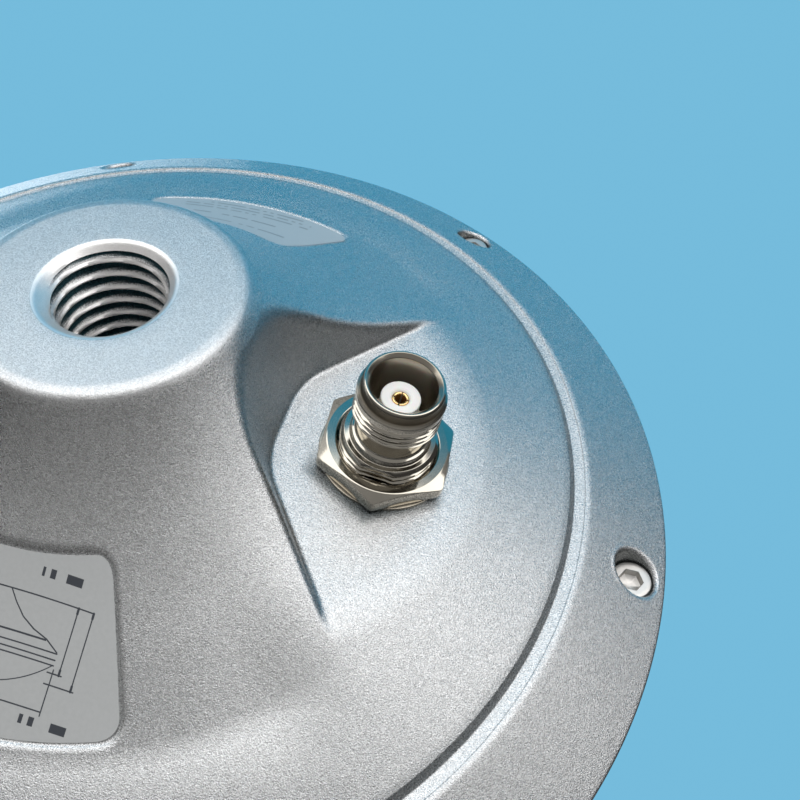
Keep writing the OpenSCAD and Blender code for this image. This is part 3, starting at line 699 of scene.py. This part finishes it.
# Plan grid of the base: rings in millimetres and spokes in degrees, close where the form turns fast.
# A block of it round the pad and one round each screw give way to a fan of rays.
PAD_BLOCK = (18.3, 50.0)
PAD_SPAN = 44.0
SCREW_BLOCK = (66.9, 75.0)
SCREW_SPAN = 3.4
SCREW_TURNS = 60 * np.arange(-2, 4)
LABEL_SIDE = np.array([19.0, 20, 21, 21.6, 22.2, 22.6, 23.0, 23.4, 23.9, 24.6])
SPOKES = np.radians(np.unique(np.concatenate([
    np.arange(-150, 210, 2.0), np.arange(-50, 50.01, 1.0),
    *[turn + np.linspace(-SCREW_SPAN, SCREW_SPAN, 9) for turn in SCREW_TURNS],
    *[middle + side * LABEL_SIDE for middle in (90, -90) for side in (-1, 1)]]).round(3)))
RINGS = np.unique(np.concatenate([
    [MOUTH_R, 10, 12.5, 14.6], np.arange(15.0, 16.0, 0.25), np.arange(16.0, 16.4, 0.1),
    np.arange(16.42, 17.1, 0.07), [17.4, 17.8, PAD_BLOCK[0], 18.8, 19.4, 20.2],
    np.arange(21, 27.5, 0.8), np.arange(27.6, 31.3, 0.24), np.arange(31.8, 42.9, 0.8),
    np.arange(43.2, 50.1, 0.34), np.arange(PAD_BLOCK[1], HOLLOW_END, 1.0), [59.5], RIM_LINE[:-1, 0],
    [65, SCREW_BLOCK[0], 68.1, 69.3, 70.3, SCREW_R, 72.1, 73.1, 74.2, SCREW_BLOCK[1]]]).round(3))

# Rays of the pad's fan: how far its wall is looked for, where the close steps at the wall start and end, by
# the distance from its foot and by the share of the ray, and the steps before, at and past the wall
PAD_SEARCH = (7.0, 60.0, 400)
FOOT_SHARE = 0.72
WALL_BEFORE = 2.2
WALL_PAST = 5.2
WALL_SHARE = 0.965
PAD_STEPS = (16, 46, 10)
COUNTERBORE_STEPS = (5,)

# Painted shading of the casting: above 0 a painted shade on the pad's walls, in the counterbores and groove,
# under the nut and in the thread's roots, and down to -1 a painted highlight on the thread's crests and
# bevel.
# A pair is the stretch over which a painted shade comes in or goes out.
WALL_SHADE = 0.42
WALL_SHADE_UP = (0.05, 0.3)
WALL_SHADE_IN = (-0.4, -0.05)
WALL_SHADE_OUT = (0.15, 0.6)
HOLE_SHADE = 0.6
GROOVE_SHADE = 0.6
NUT_SHADE = 0.8
NUT_SHADE_EDGE = (-0.2, 1.6)
NUT_SHADE_SIDE = (1.0, 8.0)
NUT_SHADOW = (-0.5, 0.6, 0.0)
ROOT_EDGE = (0.30, 0.52)
CREST_EDGE = (0.20, 0.45)
BEVEL_SHADE = -0.8
BEVEL_EDGE = (-0.15, 0.1)


class Casting:
    """The base's mesh as it grows: a plan grid, and rows of points that are joined to loops of it."""

    def __init__(self):
        self.points, self.shades, self.quads, self.tris = [], [], [], []
        self.kept = np.ones((len(RINGS) - 1, len(SPOKES)), bool)
        r = RINGS[:, None]
        # painted shade in the ring groove
        in_groove = smooth_step(GROOVE_R - 0.3, GROOVE_R + 0.2, r)
        in_groove = in_groove - smooth_step(GROOVE_END - 0.2, GROOVE_END + 0.2, r)
        self.add(on_base(r * np.cos(SPOKES), r * np.sin(SPOKES)), GROOVE_SHADE * in_groove)

    def add(self, rows, shade=0.0):
        """Adds points with their painted shading, and gives the number of the first."""
        first = sum(len(part) for part in self.points)
        self.points.append(rows.reshape(-1, 3))
        self.shades.append(np.broadcast_to(shade, rows.shape[:-1]).ravel())
        return first

    def cut_block(self, radii, turns):
        """Takes a block out of the plan grid, and gives the numbers of the points round it."""
        row0, row1 = np.searchsorted(RINGS, np.subtract(radii, 1e-6))
        col0, col1 = np.searchsorted(SPOKES, np.radians(turns) - 1e-6)
        self.kept[row0:row1, col0:col1] = False
        cols = len(SPOKES)
        inner = row0 * cols + np.arange(col0, col1)
        right = np.arange(row0, row1) * cols + col1
        outer = row1 * cols + np.arange(col1, col0, -1)
        left = np.arange(row1, row0, -1) * cols + col0
        return np.concatenate([inner, right, outer, left])

    def rays(self, loop, middle):
        """Directions and lengths in the plan from a middle to each point of a loop of the grid."""
        way = self.points[0][loop, :2] - middle
        length = np.hypot(*way.T)
        return way / length[:, None], length

    def join(self, rows, loop, tip, shade=0.0):
        """Adds rows that start round a tip, which closes them, and end along a loop of the grid."""
        count = len(loop)
        first = self.add(rows, shade)
        last = first + (len(rows) - 1) * count + np.arange(count)
        strip = np.stack([last, np.roll(last, -1), np.roll(loop, -1), loop], axis=-1)
        self.quads += [grid_quads(len(rows), count, first), strip]
        self.tris.append(cap(first + np.arange(count), self.add(np.asarray(tip, float)[None])))

    def mesh(self):
        """The points, quads and triangles, and the painted shading of each point."""
        grid = grid_quads(len(RINGS), len(SPOKES))[self.kept.ravel()]
        mesh = np.concatenate(self.points), np.concatenate([grid, *self.quads]), np.concatenate(self.tris)
        return mesh, np.concatenate(self.shades)


def ray_rows(knots, counts):
    """Distances along each ray: equal steps between its knots, one column for each ray."""
    parts = [a + (b - a) * np.arange(n)[:, None] / n for a, b, n in zip(knots[:-1], knots[1:], counts)]
    return np.concatenate(parts)[..., None]


def add_pad(casting):
    """The connector's hole and its pad: rays that cross the drafted wall, with close steps there.

    Each ray's foot is the first of many steps along it that lies past the pad's foot line.
    """
    loop = casting.cut_block(PAD_BLOCK, (-PAD_SPAN, PAD_SPAN))
    way, length = casting.rays(loop, PAD_O[:2])
    reach = np.linspace(*PAD_SEARCH)[:, None]
    past = pad_outline(-way[:, 0] * reach, way[:, 1] * reach) > 0
    foot = np.where(past.any(0), reach[np.argmax(past, axis=0), 0], reach[-1])
    foot = np.minimum(foot, FOOT_SHARE * length)
    wall_start = np.maximum(foot - WALL_BEFORE, HOLE_R + 1)
    wall_end = np.minimum(foot + WALL_PAST, WALL_SHARE * length)
    run = ray_rows([np.full_like(length, HOLE_R), wall_start, wall_end, length], PAD_STEPS)
    fan = on_base(*np.moveaxis(PAD_O[:2] + run * way, -1, 0))
    fan = np.concatenate([fan[:1] + [0, 0, HOLE_DEEP], fan])
    # painted shadow beside the nut on its +Y side, shifted by NUT_SHADOW, and painted shade on the pad's
    # walls
    beside = beside_nut(*np.moveaxis(fan - NUT_SHADOW, -1, 0))
    nut_painted_shadow = (1 - smooth_step(*NUT_SHADE_EDGE, beside)) * smooth_step(*NUT_SHADE_SIDE, fan[..., 1])
    shade = WALL_SHADE * on_pad_wall(*np.moveaxis(fan, -1, 0)) + NUT_SHADE * nut_painted_shadow
    casting.join(fan, loop, PAD_O + [0, 0, HOLE_DEEP], shade)


def add_counterbore(casting, turn):
    """One screw's counterbore: floor, wall, a lip of a quarter circle, and rays out over the rim's slope."""
    loop = casting.cut_block(SCREW_BLOCK, (turn - SCREW_SPAN, turn + SCREW_SPAN))
    middle = SCREW_R * np.array([math.cos(math.radians(turn)), math.sin(math.radians(turn))])
    way, length = casting.rays(loop, middle)
    run = ray_rows([np.full_like(length, COUNTERBORE_R + COUNTERBORE_SOFT), length], COUNTERBORE_STEPS)
    fan = on_base(*np.moveaxis(middle + run * way, -1, 0))
    bend = np.linspace(math.pi / 2, 0, 6)[:-1, None]
    plan = middle + (COUNTERBORE_R + COUNTERBORE_SOFT * (1 - np.sin(bend)))[..., None] * way
    drop = fan[0, :, 2] + COUNTERBORE_SOFT * (1 - np.cos(bend))
    lip = np.concatenate([plan, drop[..., None]], axis=-1)
    floor = lip[:1] * [1, 1, 0] + [0, 0, COUNTERBORE_Z]
    rows = np.concatenate([floor, lip, fan])
    # painted shade on the counterbore's floor and the foot of its wall
    shade = HOLE_SHADE * (np.arange(len(rows)) < 3)[:, None]
    casting.join(rows, loop, [*middle, COUNTERBORE_Z], shade)


def add_pole_thread(casting):
    """The pole thread: a vee that winds with the angle, cut off by a round mouth that goes on as a bevel.

    The painted shading runs from -1, a painted highlight on the cut crests and the bevel,
    to 1, a painted shade in the roots.
    """
    bend = np.linspace(0, MOUTH_LEAN, 6)[1:]
    curve = MOUTH_ROUND * (1 - np.cos(bend))
    bevel = curve[-1]
    below = np.arange(bevel + BEVEL_STEP, THREAD_DEPTH, THREAD_PITCH / THREAD_STEPS)
    depth = np.concatenate([curve, below])[:, None]
    wind = depth / THREAD_PITCH - SPOKES / (2 * math.pi) + THREAD_START
    cut = thread_form(wind, THREAD_FLAT, THREAD_FLAT) * smooth_step(*THREAD_FADE, depth)
    wall = THREAD_R - THREAD_HIGH * (1 - cut)
    mouth = MOUTH_R - np.sqrt(MOUTH_ROUND**2 - (MOUTH_ROUND - np.minimum(depth, bevel))**2)
    mouth = mouth - np.maximum(depth - bevel, 0) / math.tan(MOUTH_LEAN)
    # painted shade in the roots, painted highlight on the crests and, towards the mouth, on the bevel
    shade = smooth_step(*ROOT_EDGE, cut) + smooth_step(*CREST_EDGE, cut) - 1
    shade = shade + (BEVEL_SHADE - shade) * smooth_step(*BEVEL_EDGE, mouth - wall)
    bore = around(np.maximum(wall, mouth), depth, SPOKES)
    inner_ring = np.arange(len(SPOKES))[::-1]
    casting.join(bore[::-1, ::-1], inner_ring, (0, 0, THREAD_DEPTH + THREAD_TIP), shade[::-1, ::-1])


def add_rim(casting):
    """The rim, the parting face and a plain inside along the cone, as one section carried round."""
    wall_z = CAVITY_WALL / math.cos(CONE)
    floor_z = cone_z(CAVITY_FLOOR_R) + wall_z
    outline = soften([
        (*RIM_LINE[-1], 0), (BASE_R, RIM_Z, RIM_ROUND), (BASE_R, PARTING_Z, PARTING_ROUND),
        (SPIGOT_R, PARTING_Z, 0), (SPIGOT_R, TOP_Z, 0), (CAVITY_R, TOP_Z, 0),
        (CAVITY_R, cone_z(CAVITY_R) + wall_z, 0),
        (CAVITY_FLOOR_R, floor_z, 0), (12, floor_z, 0)], 6)
    outer_ring = (len(RINGS) - 1) * len(SPOKES) + np.arange(len(SPOKES))[::-1]
    casting.join(turn_section(outline[::-1], SPOKES[::-1]), outer_ring, (0, 0, floor_z))


def base_mesh():
    """The casting as one closed mesh, with its painted shading."""
    casting = Casting()
    add_pad(casting)
    for turn in SCREW_TURNS:
        add_counterbore(casting, turn)
    add_pole_thread(casting)
    add_rim(casting)
    return casting.mesh()


mesh, shade = base_mesh()
piece("base_casting", mesh, silver, "cast_aluminium", "base", sharp=50, shade=shade)


def radome_mesh():
    """The radome's section carried round: inside, rim, skirt with a moulded line, round shoulder and dome.

    The dome is a sphere through the skirt's corner and the crown, and the shoulder's arc touches it.
    """
    corner_z, rise, wall = PARTING_Z + 6.6, 22.6, 2.5
    dome_r = (BASE_R**2 + rise**2) / (2 * rise)
    dome_c = corner_z + rise - dome_r
    soft = 1.6
    soft_c = np.array([BASE_R - soft, dome_c + math.sqrt((dome_r - soft)**2 - (BASE_R - soft)**2)])
    lean = math.atan2(BASE_R - soft, soft_c[1] - dome_c)
    tip_turn = 0.012
    line_z, line_half, line_deep = PARTING_Z + 4.3, 0.45, 0.32
    fit_r = SPIGOT_R + 0.05

    def dome_arc(radius, turn):
        return np.stack([radius * np.sin(turn), dome_c + radius * np.cos(turn)], axis=-1)

    inside = dome_arc(dome_r - wall, np.linspace(tip_turn, math.asin((CAVITY_R - 0.1) / (dome_r - wall)), 24))
    flange = np.array([[CAVITY_R, min(TOP_Z + 5, inside[-1, 1] - 0.2)], [CAVITY_R, TOP_Z]])
    skirt = soften([
        (fit_r, TOP_Z, 0), (fit_r, PARTING_Z, 0.1), (BASE_R, PARTING_Z, PARTING_ROUND),
        (BASE_R, line_z - line_half, 0.25), (BASE_R - line_deep, line_z, 0.12),
        (BASE_R, line_z + line_half, 0.25), (BASE_R, soft_c[1], 0)], 4)
    turn = np.linspace(math.pi / 2, lean, 9)[1:]
    shoulder = soft_c + soft * np.stack([np.sin(turn), np.cos(turn)], axis=-1)
    dome = dome_arc(dome_r, np.linspace(lean, tip_turn, 46)[1:])
    rows = turn_section(np.concatenate([inside, flange, skirt, shoulder, dome]), full_turn(288))
    crown_z = dome_c + dome_r
    return capped_tube(rows, [(0, 0, crown_z - wall), (0, 0, crown_z)])


piece("radome_shell", radome_mesh(), white, "radome_plastic", "radome")


def thread_rows(section, step=0.06):
    """A section with the long straight runs at the threads' radii divided into short steps."""
    rows = []
    for here, after in zip(section[:-1], section[1:]):
        run = after - here
        long_run = here[0] > 5 and abs(run[0]) < 0.01 and abs(run[1]) > 1.5
        count = int(abs(run[1]) / step) if long_run else 1
        rows.append(here + run * np.arange(count)[:, None] / count)
    return np.concatenate(rows)


def shell_mesh():
    """The connector's shell: its section carried round, with wound threads and a flat on the panel thread.

    The flange inside is a hexagon, and the painted shading puts a painted shade on the collar behind the lip
    and in the bore.
    """
    angles = full_turn(160)
    length, panel, coupling = JACK_LENGTH, PANEL_THREAD_R, COUPLING_THREAD_R
    bore, sleeve, neck, tail, seat = 4.1, 2.55, 4.6, 3.5, length - 8.3
    flange_r, flange_flat, flange_z, flange_end = 8.4, 8.5, -4.0, -6.4
    section = thread_rows(soften([
        (sleeve, JACK_REAR, 0), (tail, JACK_REAR, 0.2), (tail, flange_end, 0), (flange_r, flange_end, 0.2),
        (flange_r, flange_z, 0.2), (panel, flange_z, 0), (panel, 4.3, 0), (panel, 4.31, 0),
        (panel - 0.45, 4.8, 0.1), (5.25, 4.8, 0.15), (5.05, 5.5, 0.2), (neck, 5.7, 0.3), (neck, 8.75, 0.3),
        (4.95, 9.1, 0.1), (coupling, 9.35, 0), (coupling, 9.4, 0), (coupling, 12.85, 0),
        (coupling, 12.9, 0.1), (coupling, 13.25, 0.12), (5.1, 13.65, 0.2), (5.08, length - 0.35, 0.3),
        (4.85, length, 0.2), (4.6, length, 0.14),
        (bore, length - 0.45, 0.2), (bore, seat, 0.1), (sleeve, seat, 0), (sleeve, JACK_REAR, 0)], 4))
    r = plain_r = section[:, :1]
    z = section[:, 1:]
    outside = np.arange(len(section))[:, None] <= np.argmax(section[:, 1])
    cut = thread_form(z / JACK_PITCH - angles / (2 * math.pi), 0.26, 0.16)
    for radius, start, end in ((panel, (-3.2, -2.8), (4.0, 4.4)), (coupling, (9.3, 9.6), (11.7, 12.5))):
        threaded = outside * (np.abs(plain_r - radius) < 0.02)
        r = r - JACK_THREAD_HIGH * cut * threaded * smooth_step(*start, z) * (1 - smooth_step(*end, z))
    facing = np.cos(angles - math.pi / 2)
    flat = np.where(facing > 0.3, PANEL_FLAT / np.maximum(facing, 0.3), 99.0)
    r = np.where(outside & (z > flange_z + 0.01) & (z < 4.85), np.minimum(r, flat), r)
    hexagon = flange_flat / np.cos(hexagon_side(angles, -math.pi / 6))
    r = np.where(outside & (z < flange_z + 0.01) & (plain_r > 8), hexagon - flange_r + r, r)
    collar = smooth_step(13.3, 13.7, z) - smooth_step(length - 0.5, length - 0.2, z)
    # painted shade on the collar behind the lip, and a lighter one in the bore
    shade = np.where(outside, 0.95 * collar, 0.45)
    return closed_ring(on_pad(around(r, z, angles))), np.repeat(shade, len(angles))


mesh, shade = shell_mesh()
piece("connector_jack", mesh, nickel, "nickel", "connector_shell", sharp=48, shade=shade)


def nut_mesh():
    """A hexagon with slightly round corners whose top is cut by a shallow cone, with a chamfered bore."""
    angles = full_turn(240)
    bore, cone, face_r = 6.42, 0.466, 7.9
    corner_r = NUT_FLAT / math.cos(math.pi / 6)
    flat = NUT_FLAT / np.cos(hexagon_side(angles, NUT_TURN))
    side = flat - 0.08 * smooth_step(corner_r - 0.2, corner_r, flat)
    crown = NUT_TOP - np.maximum(side - face_r, 0) * cone
    low = WASHER_HIGH + 0.03
    rows = [(bore, low), (side - 0.3, low), (side - 0.08, low + 0.06)]
    rows += [(side, low + 0.2 + (crown - low - 0.28) * share) for share in (0, 0.5, 0.96, 1.0)]
    for inset, drop in ((0.04, 0.01), (0.12, 0), (0.2, 0)):
        rows.append((side - inset, NUT_TOP - (side - inset - face_r) * cone - drop))
    rows += [(face_r + out, NUT_TOP - out * cone) for out in (0.1, 0.04)]
    rows += [(face_r - 0.03, NUT_TOP), (face_r - 0.1, NUT_TOP), (6.9, NUT_TOP), (6.82, NUT_TOP)]
    rows += [(6.76, NUT_TOP - 0.03), (bore + 0.03, NUT_TOP - 0.34), (bore, NUT_TOP - 0.45)]
    return closed_ring(on_pad(around(*even_rows(rows, len(angles)), angles)))


piece("panel_nut", nut_mesh(), nickel, "nickel", "connector_nut", sharp=30)


def washer_mesh():
    """The thin washer under the nut: a flat section with small rounds, carried round."""
    section = soften([
        (WASHER_BORE_R, 0, 0), (WASHER_R, 0, 0.05), (WASHER_R, WASHER_HIGH, 0.1),
        (WASHER_BORE_R, WASHER_HIGH, 0), (WASHER_BORE_R, 0, 0)], 3)[:-1]
    return closed_ring(on_pad(turn_section(section, full_turn(180))))


# painted shade that dims the whole washer
piece("panel_washer", washer_mesh(), nickel, "nickel", shade=0.4)


def contact_mesh():
    """Four fingers of a split tube, each a rounded section carried round its part of a turn, on a plain pin.

    The painted shading puts a painted shade inside the tube.
    """
    tip, root = 12.1, 7.1
    outer, inner, half_slot = 1.05, 0.675, 0.09
    section = soften([
        (inner, root, 0), (outer, root, 0), (outer, tip, 0.14), (inner, tip, 0.2), (inner, root, 0)], 4)[:-1]
    r, z = section[:, :1], section[:, 1:]
    spread = np.linspace(-1, 1, 13) * (math.pi / 4 - np.arcsin(half_slot / r))
    n, m = spread.shape
    quads = grid_quads(n, m, wrap_rows=True, wrap_cols=False)
    side = np.stack([np.zeros(n - 2, int), np.arange(1, n - 1), np.arange(2, n)], axis=-1) * m
    tris = np.concatenate([side, side + m - 1])
    fingers = [around(r, z, spread + math.pi / 4 + math.pi / 2 * k) for k in range(4)]
    meshes = [(finger.reshape(-1, 3), quads, tris) for finger in fingers]
    pin = turn_section([(outer, JACK_REAR), (outer, root)], full_turn(48))
    meshes.append(capped_tube(pin, [(0, 0, JACK_REAR), (0, 0, root)]))
    points, quads, tris = joined(meshes)
    reach = np.hypot(points[:, 0], points[:, 1])
    # painted shade on the inside of the tube, fading out towards its tip
    shade = smooth_step(inner + 0.1, inner, reach) * smooth_step(tip - 0.1, tip - 0.6, points[:, 2])
    return (on_pad(points), quads, tris), shade


mesh, shade = contact_mesh()
piece("split_contact", mesh, gold, "gold", "connector_contact", shade=shade)


def insulator_mesh():
    """The insulator's section carried round: a long sleeve with a rounded face and a dished middle."""
    face, rear, outer, bore = JACK_LENGTH - 2.9, -8.0, 2.5, 1.1
    section = soften([
        (bore, rear, 0), (outer, rear, 0), (outer, face, 0.18), (1.5, face, 0.1), (1.25, face - 0.12, 0.1),
        (bore, face - 0.3, 0), (bore, rear, 0)], 5)[:-1]
    return closed_ring(on_pad(turn_section(section, full_turn(96))))


piece("jack_insulator", insulator_mesh(), insulator_white, "white_insulator", "connector_insulator")


def screw_mesh(k):
    """A socket-head screw from its drilled socket out to its rounded head and up its shank, in its place.

    Each socket is turned a little further than the one before it.
    """
    angles = full_turn(72)
    socket_flat, socket_deep, socket_step = 1.45, 1.2, math.radians(17)
    drill_share, drill_deep, drill_tip = 0.72, 1.45, 1.8
    head_high, head_r, head_flat_r, head_round = 2.0, 2.88, 2.2, 0.33
    shank_r, shank_long, chamfer = 1.5, 6, 0.3
    seat = COUNTERBORE_Z
    low, end = seat - head_high, seat + shank_long
    socket = socket_flat / np.cos(hexagon_side(angles, -socket_step * k))
    rows = [(drill_share * socket, low + drill_deep), (socket, low + socket_deep), (socket, low + 0.12)]
    rows += [(socket + 0.10, low), (head_flat_r, low)]
    for bend in np.linspace(0, math.pi / 2, 6)[1:]:
        rows.append((head_r - head_round * (1 - math.sin(bend)), low + head_round * (1 - math.cos(bend))))
    rows += [(head_r, seat), (shank_r, seat), (shank_r, end - chamfer), (shank_r - chamfer, end)]
    body = around(*even_rows(rows, len(angles)), angles) + [SCREW_R, 0, 0]
    points, quads, tris = capped_tube(body, [(SCREW_R, 0, low + drill_tip), (SCREW_R, 0, end)])
    c, s = math.cos(math.pi / 3 * k), math.sin(math.pi / 3 * k)
    return points @ np.array([[c, s, 0], [-s, c, 0], [0, 0, 1]]), quads, tris


mesh = joined([screw_mesh(k) for k in range(6)])
piece("socket_screws", mesh, stainless, "screw_steel", "flange_screws", sharp=40)


def label_mesh(middle):
    """A film in its recess: rays from its centre to a rounded sector outline, at two depths under the flank.

    A ray ends at the first of many steps along it that lies outside a box with round corners.
    """
    corner = LABEL_CORNER - FILM_INSET
    half, high = LABEL_HALF * LABEL_MID - FILM_INSET, (LABEL_R2 - LABEL_R1) / 2 - FILM_INSET
    turn = full_turn(240)
    reach = np.linspace(0, 2 * half, 900)[:, None]
    across = np.abs(np.cos(turn)) * reach - (half - corner)
    along = np.abs(np.sin(turn)) * reach - (high - corner)
    far = reach[np.argmax(round_box(across, along, corner) >= 0, axis=0), 0]
    share = np.concatenate([[0.02], np.linspace(0, 1, 26)[1:]])[:, None]
    u, v = share * far * np.cos(turn), share * far * np.sin(turn) + (LABEL_R1 + LABEL_R2) / 2
    angle = math.radians(middle) - u / LABEL_MID
    x, y = v * np.cos(angle), v * np.sin(angle)
    top, bottom = on_base(x, y, FILM_TOP, cuts=False), on_base(x, y, FILM_BOTTOM, cuts=False)
    uv = np.stack([u, v], axis=-1)
    uv = np.concatenate([uv, uv[::-1]]).reshape(-1, 2)
    mesh = capped_tube(np.concatenate([top, bottom[::-1]]), [top[0].mean(0), bottom[0].mean(0)])
    return mesh, np.concatenate([uv, uv[:1], uv[:1]])


for name, node, middle, film in (("first_label", "spec_label", 90, outline_film),
                                 ("second_label", "type_label", -90, bar_film)):
    mesh, uv = label_mesh(middle)
    piece(name, mesh, film(name + "_print"), "label_film", node, uv=uv)

# What is sealed inside keeps its solid: nodes, dark and light tone, roughness and metal of each finish
INSIDE = {
    "board_lacquer": (("ground_board",), (0.02, 0.14, 0.06), (0.03, 0.19, 0.08), 0.35, 0.0),
    "patch_copper": (("lower_patch", "upper_patch"), (0.62, 0.33, 0.20), (0.74, 0.42, 0.26), 0.28, 1.0),
    "tinned_sheet": (("shield_can",), (0.60, 0.60, 0.58), (0.70, 0.70, 0.68), 0.30, 1.0),
    "moulded_chips": (("amplifier_chips",), (0.015, 0.015, 0.016), (0.03, 0.03, 0.03), 0.5, 0.0),
    "moulded_nylon": (("lower_spacers", "upper_spacers"), (0.74, 0.72, 0.66), (0.80, 0.78, 0.72), 0.45, 0.0),
    "pressed_rubber": (
        ("flange_seal", "connector_gasket"), (0.015, 0.015, 0.015), (0.03, 0.03, 0.03), 0.6, 0.0),
    "knurled_brass": (("radome_inserts",), (0.62, 0.46, 0.20), (0.74, 0.56, 0.28), 0.3, 1.0),
    "turned_steel": (("board_screws", "centre_post"), (0.52, 0.52, 0.52), (0.62, 0.62, 0.62), 0.28, 1.0),
    "lead_jacket": (("coax_lead",), (0.30, 0.16, 0.08), (0.38, 0.22, 0.12), 0.45, 0.0),
    "gold_flash": (
        ("feed_pins", "board_socket", "lead_plug"), (0.80, 0.55, 0.20), (0.90, 0.66, 0.30), 0.22, 1.0),
}
for finish_name, (nodes, *look) in INSIDE.items():
    finish = plain_finish(finish_name, *look)
    for node in nodes:
        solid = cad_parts[node]
        solid.data.materials.clear()
        solid.data.materials.append(finish.material)

# Stage: a floor that shows only from above, soft lamps over and under it, and a plain world
BACKDROP = (0.18, 0.50, 0.715)
REFLECTED = (0.045, 0.35, 0.57)
ROOM = (0.31, 0.31, 0.31)
HORIZON = (0.06, 0.06, 0.06)
EVEN_LIGHT = 0.42
BACKDROP_LEAN = 0.2
BACKDROP_EDGE = (-0.58, -0.51)
HORIZON_EDGE = (-0.6, -0.05)


def floor_finish():
    """A pale matte floor that is clear from below."""
    f = Finish("pale_floor", Roughness=0.8, Base_Color=(0.70, 0.78, 0.83, 1))
    clear = f.node("ShaderNodeBsdfTransparent")
    back = f.node("ShaderNodeNewGeometry", output="Backfacing")
    shader = Value(f, f.shader.outputs[0])
    mixed = f.node("ShaderNodeMixShader", {}, {0: back, 1: shader, 2: clear})
    f.tree.links.new(mixed.socket, f.tree.nodes["Material Output"].inputs["Surface"])
    return f


def lay_floor(reach=3.0, height=-0.0003):
    """One large square just under the object, which lets light and reflections through."""
    side = np.array([(-1, -1), (1, -1), (1, 1), (-1, 1)]) * reach
    mesh = bpy.data.meshes.new("floor")
    mesh.from_pydata(np.column_stack([side, np.full(4, height)]), [], [(0, 1, 2, 3)])
    mesh.materials.append(floor_finish().material)
    floor = bpy.data.objects.new("floor", mesh)
    bpy.context.scene.collection.objects.link(floor)
    floor.visible_diffuse = floor.visible_glossy = floor.visible_transmission = floor.visible_shadow = False


def lamp(name, place, aim, wide, deep, power, turn=0.0):
    """A rectangular soft lamp that faces a point, with its long side turned from the X axis."""
    data = bpy.data.lights.new(name, "AREA")
    data.shape, data.size, data.size_y, data.energy = "RECTANGLE", wide, deep, power
    obj = bpy.data.objects.new(name, data)
    bpy.context.scene.collection.objects.link(obj)
    obj.visible_camera = False
    back = (Vector(place) - Vector(aim)).normalized()
    rise = back.cross(Vector((math.cos(turn), math.sin(turn), 0))).normalized()
    side = rise.cross(back)
    obj.matrix_world = Matrix((side, rise, back)).transposed().to_4x4()
    obj.location = place


def plain_world():
    """Even white light; camera and reflections see the backdrop, with a grey room opposite to it."""
    world = bpy.data.worlds.new("studio")
    bpy.context.scene.world = world
    world.use_nodes = True
    world.node_tree.nodes.clear()
    n = Nodes(world.node_tree)
    along, across, up = n.axes(n.node("ShaderNodeTexCoord", output="Generated"))
    side = n.range(across + along * BACKDROP_LEAN, *BACKDROP_EDGE, shape="SMOOTHSTEP")
    room = n.blend(n.range(up, *HORIZON_EDGE, shape="SMOOTHSTEP"), ROOM, HORIZON)
    rays = ("Is Camera Ray", "Is Glossy Ray", "Is Transmission Ray")
    camera, glossy, through = (n.node("ShaderNodeLightPath", output=ray) for ray in rays)
    tone = n.blend(camera, n.blend(side, REFLECTED, room), BACKDROP)
    even = n.node("ShaderNodeBackground", {}, {"Color": (1, 1, 1, 1), "Strength": EVEN_LIGHT})
    view = n.node("ShaderNodeBackground", {}, {"Color": tone, "Strength": 1.0})
    mixed = n.node("ShaderNodeMixShader", {}, {0: camera.most(glossy).most(through), 1: even, 2: view})
    n.node("ShaderNodeOutputWorld", {}, {"Surface": mixed}, None)


lay_floor()
lamp("under_soft", (0.31, -0.172, -0.68), (0.31, -0.172, 0), 2.4, 0.595, 8.95, -0.067)
lamp("over_soft", (-0.35, 0.35, 0.75), (0, 0, 0.02), 0.6, 0.6, 4.0)
lamp("over_side", (-0.55, -0.45, 0.5), (0, 0, 0.02), 0.6, 0.6, 2.0)
plain_world()

# Camera at the photograph's angle, from below the boss
CAMERA_PLACE = Vector((0.05082, 0.06726, -0.07525))
CAMERA_RIGHT = Vector((0.96611, -0.25481, -0.04119))
CAMERA_UP = Vector((-0.22246, -0.74102, -0.63356))

camera_data = bpy.data.cameras.new("camera")
camera_data.sensor_width = 36.0
camera_data.lens = 40.3
camera_data.clip_start = 0.005
camera = bpy.data.objects.new("camera", camera_data)
bpy.context.scene.collection.objects.link(camera)
turned = Matrix((CAMERA_RIGHT, CAMERA_UP, CAMERA_RIGHT.cross(CAMERA_UP))).transposed().to_4x4()
camera.matrix_world = Matrix.Translation(CAMERA_PLACE) @ turned
bpy.context.scene.camera = camera
bpy.context.scene.view_settings.view_transform = "Standard"

bpy.context.view_layer.update()
